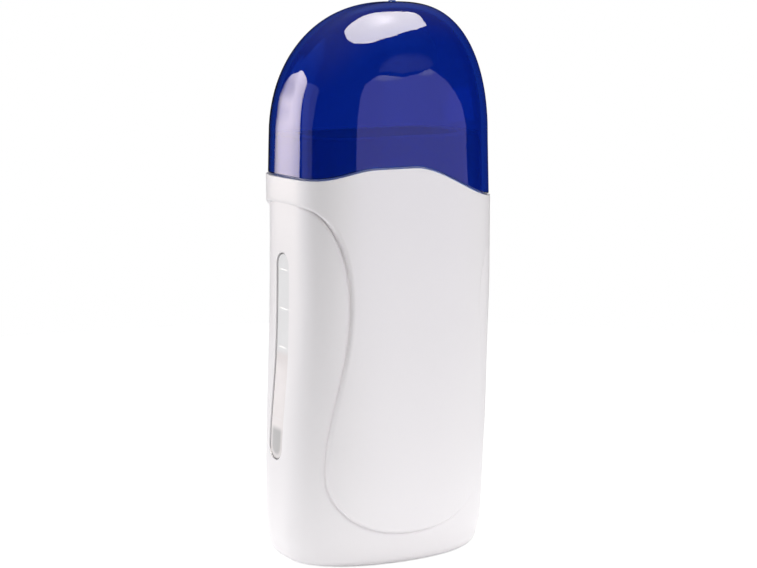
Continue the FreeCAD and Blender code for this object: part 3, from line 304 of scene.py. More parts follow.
def arc_of_x(x, z, rear):
    """Distance along the plan at which the raised surface has this x."""
    width, _, power = casing_section(z, 1.0, rear, 0.0)
    share = np.minimum(np.abs(x) / width, 1.0)
    return np.sign(x) * np.interp(np.arctan2(share, arch(share, power)), angle_table, arc_table)


# %% [markdown]
# ## The rim and the panel's outline
# The rim runs level from the window side, over a low crest and down to the other side. The band
# under it follows, so its lower edge lies lower on the plain side. There the edge starts at the
# parting line, sweeps down into the panel's waist, swells to a bulb and closes in a round foot.
# Each half of the outline has its own waist and bulb. All runs are plain functions, sampled finely
# and then spread at even distances.

# %% Rim and panel outline
RIM_LEFT_RAMP, RIM_RIGHT_RAMP = (-34.5, -14.5), (-0.5, 34.0)
WAIST_Z = 87.5
PANEL_FOOT_Z, PANEL_FOOT_POWER = 10.7, 2.25
SWEEP_END, SWEEP_POWER = HALF_WIDTH + 6.4, 2.33
OUTLINE_INNER_ARC, KNEE_ARC, DIAGONAL = 20.0, 40.0, 1.0
# height of the band's lower edge, half width of the waist, half width and height of the bulb
LEFT_HALF = (RIM_LEFT_Z - 7.45, 23.05, 29.9, 33.6)
RIGHT_HALF = (RIM_RIGHT_Z - 11.95, 27.4, 31.8, 37.7)


def rim_height(x):
    """Height of the rim: a smooth step up to the crest, then a longer one down."""
    left, right = ramp(x, *RIM_LEFT_RAMP), ramp(x, *RIM_RIGHT_RAMP)
    return RIM_LEFT_Z + (RIM_CREST_Z - RIM_LEFT_Z) * left + (RIM_RIGHT_Z - RIM_CREST_Z) * right


def half_outline(half, rear):
    """One side of the outline, from the parting line down to the middle of its foot.

    A superellipse quarter sweeps down into the waist, half a cosine wave leads to the bulb, and
    another superellipse quarter closes the foot. Returned as distance along the plan and height."""
    seam_z, waist_half, bulb_half, bulb_z = half
    arc = np.linspace(ARC_END, OUTLINE_INNER_ARC, 1500)
    x = place(arc, seam_z + 0 * arc, 1.0, rear, 0.0)[:, 0]
    past = x > waist_half + 0.02
    arc, x = arc[past], x[past]
    fall = np.clip((SWEEP_END - x) / (SWEEP_END - waist_half), 0, 1)
    z = WAIST_Z + (seam_z - WAIST_Z) * arch(fall, SWEEP_POWER)
    t = np.linspace(0.02, 1, 300)
    flank_z = WAIST_Z + (bulb_z - WAIST_Z) * t
    flank_x = waist_half + (bulb_half - waist_half) * (1 - np.cos(np.pi * t)) / 2
    turn = np.linspace(0.01, np.pi / 2, 500)
    foot_x = bulb_half * np.cos(turn) ** (2 / PANEL_FOOT_POWER)
    foot_z = bulb_z - (bulb_z - PANEL_FOOT_Z) * np.sin(turn) ** (2 / PANEL_FOOT_POWER)
    foot_x[-1] = 0.0
    lower_z = np.concatenate([flank_z, foot_z])
    lower_arc = arc_of_x(np.concatenate([flank_x, foot_x]), lower_z, rear)
    return np.concatenate([arc, lower_arc]), np.concatenate([z, lower_z])


def spread(path, count):
    """count points at even distances along a path of (across, up) pairs."""
    run = np.concatenate([[0.0], np.cumsum(np.hypot(*np.diff(path, axis=0).T))])
    even = np.linspace(0, run[-1], count)
    return np.stack([np.interp(even, run, path[:, 0]), np.interp(even, run, path[:, 1])], axis=1)


SWEEP_COUNT, FLANK_COUNT, FOOT_COUNT = 56, 120, 96


def outline(rear):
    """The whole outline, left to right, in five runs: sweep, flank, foot, flank and sweep.

    The sweep meets the flank at the knee, where it gets steeper than a diagonal, and the flank
    meets the foot at the toe, where it gets flatter than one."""
    halves = []
    for half in (LEFT_HALF, RIGHT_HALF):
        path = np.stack(half_outline(half, rear), axis=1)
        slope = np.gradient(path[:, 1], path[:, 0])
        knee = int(np.argmax((path[:, 0] < KNEE_ARC) & (slope > DIAGONAL)))
        flat = (np.abs(slope) > 0) & (np.abs(slope) < DIAGONAL)
        toe = int(np.argmax((path[:, 1] < half[3]) & flat))
        halves.append([spread(path[:knee + 1], SWEEP_COUNT), spread(path[knee:toe + 1], FLANK_COUNT),
                       path[toe:]])
    (left_sweep, left_flank, left_foot), (right_sweep, right_flank, right_foot) = halves
    mirror = np.array([-1.0, 1.0])
    foot = np.concatenate([left_foot * mirror, right_foot[-2::-1]])
    runs = [left_sweep * mirror, left_flank * mirror, spread(foot, FOOT_COUNT),
            right_flank[::-1], right_sweep[::-1]]
    return np.concatenate([runs[0]] + [run[1:] for run in runs[1:]])


front_outline = outline(False)
print("outline points:", len(front_outline), "lowest at", round(front_outline[:, 1].min(), 2))

# %% [markdown]
# ## The slot for the level window
# The slot is as long as the wax in a cartridge. It widens downwards and bends back with the
# casing's flare, and its middle lies behind the parting line, so most of it is cut in the rear
# shell. A slot that is open towards the parting line needs no slide in the mould.

# %% Slot and edges of a shell
SLOT_TOP_HALF, SLOT_LOW_HALF = 4.41, 4.9
WINDOW_LOW_Z, WINDOW_HIGH_Z = window_low[2] + 0.6, window_high[2] - 1.5
WINDOW_SHIFT, WINDOW_SWEEP, WINDOW_SWEEP_Z = 1.48, 3.0, 73.0
WINDOW_STATIONS = (WINDOW_HIGH_Z + 4, WINDOW_HIGH_Z - 2, WINDOW_LOW_Z + 7, WINDOW_LOW_Z + 1)
FOOT_RADIUS, GRIP_DROP = 3.0, 7.0
SLOT_TOP_Z, SLOT_LOW_Z = WINDOW_HIGH_Z - SLOT_TOP_HALF, WINDOW_LOW_Z + SLOT_LOW_HALF
print("window slot from", round(WINDOW_LOW_Z, 2), "to", round(WINDOW_HIGH_Z, 2), "mm")


def slot_half(z):
    """Half width of the slot, which widens evenly from its upper to its lower end."""
    return np.interp(z, [SLOT_LOW_Z, SLOT_TOP_Z], [SLOT_LOW_HALF, SLOT_TOP_HALF])


def window_centre(z):
    """y of the slot's middle, a little behind the parting line, and more so as it runs down."""
    return WINDOW_SHIFT + WINDOW_SWEEP * ramp(z, WINDOW_SWEEP_Z, WINDOW_LOW_Z)


def slot_edge(rear, top_z):
    """Edge of a shell on the window side in five runs of (y, z) points: down the parting line to
    the slot, round its top, along it, round its lower end, and down to the foot."""
    facing = 1.0 if rear else -1.0
    turn = np.linspace(0, np.pi / 2, 60)
    sine, cosine = np.sin(turn), np.cos(turn)
    z = np.linspace(SLOT_TOP_Z, SLOT_LOW_Z, 300)
    along = np.stack([window_centre(z) + facing * slot_half(z), z], axis=1)
    top_y, low_y = WINDOW_SHIFT, window_centre(SLOT_LOW_Z)
    over = np.stack([top_y + facing * SLOT_TOP_HALF * sine,
                     SLOT_TOP_Z + SLOT_TOP_HALF * cosine], axis=1)
    under = np.stack([low_y + facing * SLOT_LOW_HALF * cosine,
                      SLOT_LOW_Z - SLOT_LOW_HALF * sine], axis=1)
    if rear:
        over = np.concatenate([[[0.0, WINDOW_HIGH_Z]], over])
        under = np.concatenate([under, [[0.0, WINDOW_LOW_Z]]])
    else:
        top_meet = SLOT_TOP_Z + math.sqrt(SLOT_TOP_HALF ** 2 - top_y ** 2)
        low_meet = SLOT_LOW_Z - math.sqrt(SLOT_LOW_HALF ** 2 - low_y ** 2)
        over = np.concatenate([[[0.0, top_meet]], over[over[:, 0] < 0]])
        under = np.concatenate([under[under[:, 0] < 0], [[0.0, low_meet]]])
    start, end = np.array([[0.0, top_z], over[0]]), np.array([under[-1], [0.0, FOOT_RADIUS]])
    return [start, over, along, under, end]


def arc_of_y(y, z, rear):
    """Distance along the plan of a point near a parting line, from its y on the grips."""
    _, depth, power = casing_section(z, 0.0, rear, 0.0)
    rise = np.minimum(np.abs(y) / depth, 1.0)
    return np.interp(np.arctan2(arch(rise, power), rise), angle_table, arc_table)


def grip_boundary(rear, strip):
    """Outer edge of the grips: down the window side, along the foot and up the plain side.

    Each run of the window side gets as many points as the step's strip has between the same
    heights, so the rows that join them run nearly level and never cross the slot."""
    count = SWEEP_COUNT + FLANK_COUNT - 1
    ends = [int(np.argmax(strip[:count, 1] < z)) for z in WINDOW_STATIONS] + [count - 1]
    runs, done = [], 0
    for run, end in zip(slot_edge(rear, strip[0, 1] - GRIP_DROP), ends):
        runs.append(spread(run, end - done + 1)[1 if runs else 0:])
        done = end
    edge = np.concatenate(runs)
    window_side = np.stack([-arc_of_y(edge[:, 0], edge[:, 1], rear), edge[:, 1]], axis=1)
    plain_z = np.linspace(FOOT_RADIUS, strip[-1, 1] - GRIP_DROP, count)
    plain_side = np.stack([np.full(count, ARC_END), plain_z], axis=1)
    foot = np.stack([np.linspace(-ARC_END, ARC_END, FOOT_COUNT),
                     np.full(FOOT_COUNT, FOOT_RADIUS)], axis=1)
    return np.concatenate([window_side, foot[1:-1], plain_side])


# %% [markdown]
# ## Patches that follow the panel
# Each shell is laid out as a few patches that share their edges: the band under the rim, the
# panel, a narrow strip across the rounded step, the grips beside the panel, the turn of the foot
# and the flat base up to the mains inlet. Because the patches follow the outline, the step stays
# crisp along its whole length. A plain grid would show it as a staircase. Along the step's foot
# runs a fine groove, deeper under the sweep, as a small cutter leaves it in the mould.

# %% Step, walls and the smaller patches
# the rows across the step: how far out from the outline each lies, and its level. A level below
# 0 lies in the groove, whose depth changes with height and fades out on the narrow sides
STEP_EDGE, STEP_WALL, STEP_DROP = 1.0, 0.3, 0.45
EDGE_TURN = np.radians([0, 15, 30, 45, 60, 75, 90])
STEP_REACH = np.concatenate([STEP_WALL + STEP_EDGE * (1 - np.sin(EDGE_TURN)),
                             [0.24, 0.18, -0.2, -0.28, -0.38, -0.52, -0.75, -1.15, -2.6]])
STEP_LEVEL = np.concatenate([1 - STEP_DROP * (1 - np.cos(EDGE_TURN)),
                             [-0.08, -0.35, -0.35, -0.2, -0.13, -0.08, -0.035, 0, 0]])
GROOVE_SIDE, GROOVE_FADE = 45.0, 5.0
GROOVE_HEIGHTS, GROOVE_DEPTHS = [10.0, 25.0, 52.0, 95.0, 112.0], [0.65, 1.15, 0.8, 0.85, 1.5]
BAND_ROWS, GRIP_ROWS, TURN_ROWS, BASE_ROWS, SLIVER_ROWS, SLIVER_COUNT = 18, 22, 8, 9, 5, 30
CASING_WALL, POCKET_WALL, POCKET_RAMP = 1.8, 2.6, 1.5
POCKET_Z = RIM_RIGHT_Z - POCKET_RAMP
BASE_WALL_SHARE, SHIFT_TURN = 1.2, 8.0
HOLE_HALF_LENGTH, HOLE_HALF_WIDTH = 8.9, 4.9
groove_depths = np.array(GROOVE_DEPTHS) * -STEP_LEVEL.min() * face_relief(np.array(GROOVE_HEIGHTS))
print("rows across the step:", len(STEP_REACH), "groove depths:", groove_depths.round(2))


def between(first, last, shares):
    """Rows of points that lead in straight lines from one row to another."""
    shares = np.asarray(shares)[:, None, None]
    return first[None] * (1 - shares) + last[None] * shares


def wall_at(z, inset):
    """Depth below the outside: the wall, thicker where the collar's pocket is cut."""
    share = ease((z - POCKET_Z + POCKET_RAMP) / POCKET_RAMP)
    return inset * (1 + (POCKET_WALL / CASING_WALL - 1) * share)


def shifted(path, inward):
    """The outline moved inward, square to itself, but straight up at the parting lines."""
    along = np.gradient(path, axis=0)
    along /= np.linalg.norm(along, axis=1, keepdims=True)
    normal = np.stack([-along[:, 1], along[:, 0]], axis=1)
    ends = 1 - ease((ARC_END - np.abs(path[:, 0])) / SHIFT_TURN)[:, None]
    normal = normal * (1 - ends) + np.array([0.0, 1.0]) * ends
    return path + inward * normal / np.linalg.norm(normal, axis=1, keepdims=True)


def slot_corner(middle, end_z, round_z, radius, inset):
    """The sliver of the rear shell between the parting line and a round end of the slot.

    It reaches from the height of the end's tip to the circle about the slot's middle."""
    y = np.linspace(middle, 0, SLIVER_COUNT)
    circle = round_z + np.sign(radius) * np.sqrt(np.maximum(radius ** 2 - (y - middle) ** 2, 0))
    z = between(np.full((SLIVER_COUNT, 1), end_z), circle[:, None],
                np.linspace(1, 0, SLIVER_ROWS))[..., 0]
    arc = -arc_of_y(np.broadcast_to(y, z.shape), z, True)
    return place(arc, z, 0.0, True, wall_at(z, inset))


def inlet_edge(rear, z):
    """Half of the hole for the inlet, a slot with round ends, from left to right."""
    straight = HOLE_HALF_LENGTH - HOLE_HALF_WIDTH
    turn = np.linspace(0, np.pi / 2, 60)
    end = np.stack([straight + HOLE_HALF_WIDTH * np.cos(turn), HOLE_HALF_WIDTH * np.sin(turn)], axis=1)
    path = spread(np.concatenate([end * [-1, 1], end[::-1]]), FOOT_COUNT)
    side = 1.0 if rear else -1.0
    return np.stack([path[:, 0], side * path[:, 1], np.full(FOOT_COUNT, z)], axis=1)


# %% All patches of one skin
def shell_patches(rear, inset):
    """All patches of a shell's skin as grids of points, inset from the outside by a wall."""
    path = outline(rear)
    knee = SWEEP_COUNT - 1
    heel = knee + FLANK_COUNT - 1
    patches = []

    def add(grid, level, tuck=0.0):
        arc, z = grid[..., 0], grid[..., 1]
        patches.append(place(arc, z, level, rear, wall_at(z, inset), tuck))

    # the strip across the step, from the panel's face out to the grips
    steps = np.stack([shifted(path, reach + inset) for reach in STEP_REACH])
    inner, outer = steps[0], steps[-1]
    groove = np.interp(path[:, 1], GROOVE_HEIGHTS, GROOVE_DEPTHS)
    groove = groove * ease((GROOVE_SIDE - np.abs(path[:, 0])) / GROOVE_FADE)
    add(steps, np.minimum(STEP_LEVEL, 0)[:, None] * groove + np.maximum(STEP_LEVEL, 0)[:, None])

    # the panel: opposite flanks joined by rows, which sag with the foot's curve
    count = len(path)
    left, right = inner[knee:heel + 1], inner[count - 1 - heel:count - knee][::-1]
    foot = inner[heel:count - heel]
    across = np.linspace(0, 1, FOOT_COUNT)[None, :, None]
    down = np.linspace(0, 1, FLANK_COUNT)[:, None, None]
    chord = foot[0] * (1 - across) + foot[-1] * across
    panel = left[:, None] * (1 - across) + right[:, None] * across + down * (foot[None] - chord)
    add(panel, 1.0)

    # the band: from the rim down to the sweeps and the top of the panel
    lower = np.concatenate([inner[:knee], panel[0], inner[count - knee:]])
    at_rim = np.full(len(lower), RIM_LEFT_Z)
    top_x = place(lower[:, 0], at_rim, 1.0, rear, wall_at(RIM_LEFT_Z, inset))[:, 0]
    top = np.stack([lower[:, 0], rim_height(top_x)], axis=1)
    add(between(top, lower, np.linspace(0, 1, BAND_ROWS)), 1.0)

    # the grips, from the step out to the parting lines and the foot
    boundary = grip_boundary(rear, outer)
    add(between(outer, boundary, np.linspace(0, 1, GRIP_ROWS)), 0.0)
    if rear:
        patches += [slot_corner(WINDOW_SHIFT, WINDOW_HIGH_Z, SLOT_TOP_Z, SLOT_TOP_HALF, inset)[::-1],
                    slot_corner(window_centre(SLOT_LOW_Z), WINDOW_LOW_Z, SLOT_LOW_Z,
                                -SLOT_LOW_HALF, inset)]

    # the turn of the foot and the flat base
    base_z = inset * BASE_WALL_SHARE
    radius = max(FOOT_RADIUS - inset, FOOT_RADIUS / 4)
    foot_line = boundary[SWEEP_COUNT + FLANK_COUNT - 2:count - SWEEP_COUNT - FLANK_COUNT + 2]
    turn = np.linspace(np.pi / 2, 0, TURN_ROWS)[:, None]
    z = base_z + radius * (1 - np.cos(turn)) + (FOOT_RADIUS - base_z - radius) * (turn / (np.pi / 2))
    turned = np.stack(np.broadcast_arrays(foot_line[:, 0], z), axis=-1)
    add(turned, 0.0, radius * (1 - np.sin(turn)))
    patches.append(between(patches[-1][-1], inlet_edge(rear, base_z), np.linspace(0, 1, BASE_ROWS)))
    return patches


for rear in (False, True):
    print("rear" if rear else "front", "skin:", len(shell_patches(rear, 0.0)), "patches")

# %% [markdown]
# ## Two walls, and the sunk screws
# The same patches, drawn in by the wall's thickness, give the inner skin, and strips join both
# skins along their open edges. Near the rim the wall is thicker, where it holds the collar. Low
# in the back two round holes let the screws' heads sink below the surface.

# %% Holes and the finished shells
EDGE_ROUNDING, RIM_ROUNDING = 0.22, 0.45
SCREW_X, SCREW_Z, SCREW_HOLE, SCREW_BOSS, SCREW_SEAT_Y, SCREW_SEAT = 24.0, 8.5, 3.0, 4.6, 14.0, 1.6


def sunk(points, faces, x, skins):
    """Sinks a round hole for a screw's head into the rear shell, with a boss behind it.

    skins is the number of points of one skin. The faces of each skin round the hole's middle come
    out, the border they leave is moved onto a circle, and a tube leads down to a flat seat."""
    for outside in (True, False):
        radius = SCREW_HOLE if outside else SCREW_BOSS
        seat_y = SCREW_SEAT_Y if outside else SCREW_SEAT_Y - SCREW_SEAT
        own = (faces < skins) if outside else ((faces >= skins) & (faces < 2 * skins))
        own = own.all(axis=1)
        middle = points[faces].mean(axis=1)
        away = np.hypot(middle[:, 0] - x, middle[:, 2] - SCREW_Z)
        gone = own & (away < radius) & (middle[:, 1] > 0)
        border = open_edges(faces[~gone])
        across = points[border][:, :, [0, 2]] - np.array([x, SCREW_Z])
        border = border[(np.hypot(across[..., 0], across[..., 1]) < radius + 2).all(axis=1)
                        & (points[border][:, :, 1] > 0).all(axis=1)]
        numbers = np.unique(border)
        offset = points[numbers][:, [0, 2]] - np.array([x, SCREW_Z])
        offset *= radius / np.hypot(offset[:, :1], offset[:, 1:])
        points = points.copy()
        points[numbers, 0], points[numbers, 2] = x + offset[:, 0], SCREW_Z + offset[:, 1]
        seat = points[numbers].copy()
        seat[:, 1] = seat_y
        first = len(points)
        centre = first + len(seat)
        start = first + np.searchsorted(numbers, border[:, 0])
        end = first + np.searchsorted(numbers, border[:, 1])
        tube = np.stack([border[:, 1], border[:, 0], start, end], axis=1)
        middles = np.full(len(start), centre)
        points = np.concatenate([points, seat, [[x, seat_y, SCREW_Z]]])
        faces = np.concatenate([faces[~gone], tube, np.stack([end, start, middles, middles], axis=1)])
    return points, faces


def casing_shell(name, node, rear):
    """One shell: outer and inner skin from the same patches, joined along their open edges."""
    outer, inner, faces, first = [], [], [], 0
    for skin, under in zip(shell_patches(rear, 0.0), shell_patches(rear, CASING_WALL)):
        outer.append(skin.reshape(-1, 3))
        inner.append(under.reshape(-1, 3))
        faces.append(grid_faces(*skin.shape[:2], first))
        first += len(outer[-1])
    points, faces, edges = walled(np.concatenate(outer), np.concatenate(inner), np.concatenate(faces))
    if not rear:
        faces = faces[:, ::-1]
    ends = points[edges]
    at_rim = (ends[:, :, 2].min(axis=1) > RIM_RIGHT_Z - 1) & (np.abs(ends[:, :, 1]).max(axis=1) > 0.1)
    skins = len(points) // 2
    for x in (-SCREW_X, SCREW_X) if rear else ():
        points, faces = sunk(points, faces, x, skins)
    piece = new_piece(name, points, faces, "heater", [node])
    round_edges(piece, edges, RIM_ROUNDING, np.where(at_rim, 1.0, EDGE_ROUNDING / RIM_ROUNDING))
    return piece


front_casing = casing_shell("front_casing", "front_shell", False)
rear_casing = casing_shell("rear_casing", "rear_shell", True)

# %% [markdown]
# ## The dome cap
# The cap is moulded in tinted clear plastic with a wall of even thickness. Its lower edge repeats
# the rim's wave, its sides widen downwards by a hair so that it leaves the mould, and the top
# lies forward of the middle, so the front stays upright while the back slopes. A small nub at
# the very top is what the mould's gate leaves. A closed wall with an outer and an inner face lets
# light bend through it as through the real one.

# %% Cap
CAP_HALF_WIDTH, CAP_HALF_DEPTH = HALF_WIDTH - 1.0, HALF_DEPTH - 0.3
CAP_SHOULDER_Z = RIM_CREST_Z + 7.5
CAP_SIDE_POWER, CAP_FRONT_POWER, CAP_BACK_POWER = 2.41, 3.6, 2.11
CAP_TOP_PLAN_POWER = 2.95
CAP_DRAFT = 0.022
CAP_LEAN = 8.75
CAP_WALL = 1.8
CAP_RIM_GAP, CAP_EDGE_ROUNDING = 0.6, 0.3
GATE_RADIUS, GATE_FOOT, GATE_EDGE, TOP_FLAT = 1.2, 0.1, 0.12, 0.15
CAP_COLUMNS = 240
around = np.linspace(0, 2 * np.pi, CAP_COLUMNS, endpoint=False)


def dome(z, around, inset):
    """Point of the dome at a height and an angle.

    The plan is a superellipse. Its half width and its reach to the front and to the back each
    shrink on a superellipse of their own, all towards one top that lies forward of the middle:
    reach = lean + (depth - lean) * (1 - rise ** power) ** (1 / power)."""
    rise = np.clip((z - CAP_SHOULDER_Z) / (CAP_TOP_Z - CAP_SHOULDER_Z - inset), 0, 1)
    side, front, back = (arch(rise, power)
                         for power in (CAP_SIDE_POWER, CAP_FRONT_POWER, CAP_BACK_POWER))
    forward = CAP_LEAN + (CAP_HALF_DEPTH - CAP_LEAN - inset) * front
    backward = (CAP_HALF_DEPTH + CAP_LEAN - inset) * back - CAP_LEAN
    draft = CAP_DRAFT * np.maximum(CAP_SHOULDER_Z - z, 0)
    power = PLAN_POWER + (CAP_TOP_PLAN_POWER - PLAN_POWER) * ease(rise)
    across, away = np.cos(around), np.sin(around)
    reach = (np.abs(across) ** power + np.abs(away) ** power) ** (-1 / power)
    x = ((CAP_HALF_WIDTH - inset) * side + draft) * across * reach
    y = ((forward + backward) / 2 + draft) * away * reach + (backward - forward) / 2
    return np.stack(np.broadcast_arrays(x, y, z), axis=-1)


def dome_skin(inset):
    """Rows from the wavy edge to the top, ending in a small ring round the gate."""
    edge_x = dome(np.full((1, 1), RIM_LEFT_Z), around, inset)[..., 0]
    edge_z = rim_height(edge_x) + CAP_RIM_GAP
    up = np.linspace(0, 1, 12)[:, None]
    skirt = dome(edge_z + (CAP_SHOULDER_Z - edge_z) * up, around, inset)
    turn = np.concatenate([np.linspace(0, 1.30, 66)[1:], np.linspace(1.30, 1.505, 14)[1:]])[:, None]
    height = CAP_TOP_Z - CAP_SHOULDER_Z - inset
    bell = dome(CAP_SHOULDER_Z + height * np.sin(turn) ** (2 / CAP_FRONT_POWER), around, inset)
    return np.concatenate([skirt, bell])


def ring(radius, z):
    """Circle of points about the cap's top."""
    x, y = radius * np.cos(around), radius * np.sin(around) - CAP_LEAN
    return np.stack([x, y, np.full_like(around, z)], axis=-1)


flat_z, gate_z = CAP_TOP_Z - TOP_FLAT, CAP_TOP_Z + GATE_HEIGHT
gate = [(GATE_RADIUS + GATE_FOOT, flat_z), (GATE_RADIUS, flat_z + GATE_FOOT),
        (GATE_RADIUS, gate_z - GATE_FOOT), (GATE_RADIUS - GATE_EDGE, gate_z), (0.0, gate_z)]
outer = np.concatenate([dome_skin(0.0), [ring(*step) for step in gate]])
inner = np.concatenate([dome_skin(CAP_WALL), [ring(0.0, flat_z - CAP_WALL)]])
outer_faces = grid_faces(len(outer), CAP_COLUMNS, 0, wrap=True)
shift = len(outer) * CAP_COLUMNS
inner_faces = grid_faces(len(inner), CAP_COLUMNS, shift, wrap=True)[:, ::-1]
columns = np.arange(CAP_COLUMNS)
beside = (columns + 1) % CAP_COLUMNS
edge_faces = np.stack([beside, columns, columns + shift, beside + shift], axis=1)
points = np.concatenate([outer.reshape(-1, 3), inner.reshape(-1, 3)])
kept, faces = weld(points, np.concatenate([outer_faces, inner_faces, edge_faces]))
cap_dome = new_piece("dome_cap", points[kept], faces, "cap", ["cap"])
round_edges(cap_dome, faces[-CAP_COLUMNS:].reshape(-1, 2), CAP_EDGE_ROUNDING)

# %% [markdown]
# ## The level window
# A clear moulded strip fills the slot in the window side, a hair below the wall around it. It is
# one lens with the slot's outline, drawn in a little for the gap, and it follows the casing's own
# curve so that it reflects the room the same way. Two values stored at its points tell the
# material where the strip's rim and its middle are.

# %% Window lens
LENS_RECESS, LENS_GAP, LENS_DEPTH, LENS_ROUNDING = 0.4, 0.3, 2.6, 0.1
RIM_LINE_REAR, RIM_LINE_FRONT, CORE_START, CORE_LENGTH = 0.5, 0.3, 0.9, 1.4


def lens_grid(recess):
    """Grid over the slot: rows down the strip, columns across it, with half-round ends."""
    turn = np.linspace(np.pi / 2, 0.0, 14)
    straight = np.linspace(SLOT_TOP_Z, SLOT_LOW_Z, 90)[1:-1]
    top, low = SLOT_TOP_HALF - LENS_GAP, SLOT_LOW_HALF - LENS_GAP
    z = np.concatenate([SLOT_TOP_Z + top * np.sin(turn), straight,
                        SLOT_LOW_Z - low * np.sin(turn[::-1])])
    reach = np.concatenate([top * np.cos(turn), slot_half(straight) - LENS_GAP,
                            low * np.cos(turn[::-1])])
    across = np.sin(np.linspace(-np.pi / 2, np.pi / 2, 25))[None, :]
    centre = window_centre(np.clip(z, SLOT_LOW_Z, SLOT_TOP_Z))
    y = centre[:, None] + reach[:, None] * across
    z = np.broadcast_to(z[:, None], y.shape)
    front = np.stack([-arc_of_y(y, z, False), z], axis=-1)
    point = place(front[..., 0], z, 0.0, False, recess)
    back = place(-arc_of_y(y, z, True), z, 0.0, True, recess)
    point = np.where((y < 0)[..., None], point, back)
    point[..., 1] = y
    return point


face, under = lens_grid(LENS_RECESS), lens_grid(LENS_DEPTH)
lens_points, lens_faces, lens_edges = walled(face.reshape(-1, 3), under.reshape(-1, 3),
                                             grid_faces(*face.shape[:2]))
window_lens = new_piece("window_lens", lens_points, lens_faces, "heater",
                        ["level_window"])
round_edges(window_lens, lens_edges, LENS_ROUNDING)
middle_z = np.clip(lens_points[:, 2], SLOT_LOW_Z, SLOT_TOP_Z)
off_y, off_z = lens_points[:, 1] - window_centre(middle_z), lens_points[:, 2] - middle_z
margin = slot_half(middle_z) - LENS_GAP - np.hypot(off_y, off_z)
near_rim = 1 - ease(margin / np.where(off_y > 0, RIM_LINE_REAR, RIM_LINE_FRONT))
for attribute, value in (("rim", near_rim), ("core", ease((margin - CORE_START) / CORE_LENGTH))):
    window_lens.data.attributes.new(attribute, "FLOAT", "POINT").data.foreach_set("value", value)

# %% [markdown]
# ## Shader maths as plain expressions
# Cycles materials are graphs of nodes. A small class wraps an output socket and overloads the
# usual operators, so `1 - mask * 0.3` adds its Math nodes by itself. Every other node comes from
# one method that takes the node's type, its settings and the values of its sockets, and a few
# short methods name what is used again and again.

# %% Node helpers
class Wire:
    """An output socket that can be calculated with."""

    def __init__(self, graph, socket):
        self.graph, self.socket = graph, socket

    def math(self, operation, first, second):
        return self.graph.node("ShaderNodeMath", {"operation": operation}, {0: first, 1: second})

    def __add__(self, other):
        return self.math("ADD", self, other)

    def __radd__(self, other):
        return self.math("ADD", other, self)

    def __sub__(self, other):
        return self.math("SUBTRACT", self, other)

    def __rsub__(self, other):
        return self.math("SUBTRACT", other, self)

    def __mul__(self, other):
        return self.math("MULTIPLY", self, other)

    def __rmul__(self, other):
        return self.math("MULTIPLY", other, self)


class Graph:
    """The node tree of one material, or of the world."""

    def __init__(self, owner):
        owner.use_nodes = True
        self.owner, self.tree = owner, owner.node_tree
        self.tree.nodes.clear()

    def node(self, kind, settings=None, values=None, output=0):
        """Adds a node: its settings are made first, then the values or links of its inputs."""
        made = self.tree.nodes.new(kind)
        for name, setting in (settings or {}).items():
            setattr(made, name, setting)
        for name, value in (values or {}).items():
            if isinstance(value, Wire):
                self.tree.links.new(value.socket, made.inputs[name])
            else:
                made.inputs[name].default_value = value
        return Wire(self, made.outputs[output])

    def place(self):
        """Where a point is on the object, in metres."""
        return self.node("ShaderNodeTexCoord", output="Object")

    def attribute(self, name):
        """A value stored at the points of the mesh."""
        return self.node("ShaderNodeAttribute", {"attribute_name": name}, output="Fac")

    def ray(self, kind):
        """1 where the ray that arrives is of this kind, else 0."""
        return self.node("ShaderNodeLightPath", output=f"Is {kind} Ray")

    def noise(self, size_mm, detail=2.0, where=None):
        """Soft noise whose features measure about size_mm, from 0 to 1."""
        return self.node("ShaderNodeTexNoise", {}, {"Vector": where or self.place(),
                                                    "Scale": 1.0 / (size_mm * MM), "Detail": detail})

    def ramp(self, value, start, end, low=0.0, high=1.0):
        """Smooth step of a value, from low at its start to high at its end."""
        return self.node("ShaderNodeMapRange", {"interpolation_type": "SMOOTHSTEP"}, {
            "Value": value, "From Min": start, "From Max": end, "To Min": low, "To Max": high})

    def mix(self, share, first, second):
        """Colour that runs from first to second."""
        return self.node("ShaderNodeMix", {"data_type": "RGBA"},
                         {0: share, 6: first, 7: second}, output=2)

    def bump(self, height, depth_mm):
        """Normal tilted by a height that stands for depth_mm from its 0 to its 1."""
        return self.node("ShaderNodeBump", {}, {"Height": height, "Distance": depth_mm * MM,
                                                "Strength": 1.0})

    def finish(self, shader, kind="ShaderNodeOutputMaterial"):
        """Ends the graph: links a shader to its output. Returns what the graph belongs to."""
        made = self.tree.nodes.new(kind)
        self.tree.links.new(shader.socket, made.inputs["Surface"])
        return self.owner

    def plastic(self, values):
        return self.finish(self.node("ShaderNodeBsdfPrincipled", {}, values))


def rgb(red, green, blue):
    """Colour from the 0 to 255 values of a colour chart, made linear."""
    part = np.array([red, green, blue]) / 255
    linear = np.where(part <= 0.04045, part / 12.92, ((part + 0.055) / 1.055) ** 2.4)
    return (*linear.tolist(), 1.0)


def shade(colour, factor):
    """A colour made darker or lighter by a factor."""
    return tuple(min(part * factor, 1.0) for part in colour[:3]) + (1.0,)


print("mid grey 128 is", round(rgb(128, 128, 128)[0], 3), "in linear light")

# %% [markdown]
# ## Moulded plastic
# Injection-moulded plastic copies the mould. A fine spark-eroded grain makes the gloss soft, and
# the colour is even apart from the faintest drift. Grain and drift are noise on object
# coordinates: the first tilts the normal by a few thousandths of a millimetre, the second moves
# roughness and colour a little.
#
# The cap's blue comes from two places. Each surface tints the light a little, and an absorbing
# inside takes away more the longer the way through it, so the rim of the dome looks darkest.

# %% Plastic materials
GLOSS_DRIFT, GLOSS_GRAIN = 0.08, 0.05
print("roughness of plastics varies by", round(GLOSS_DRIFT + GLOSS_GRAIN, 2))


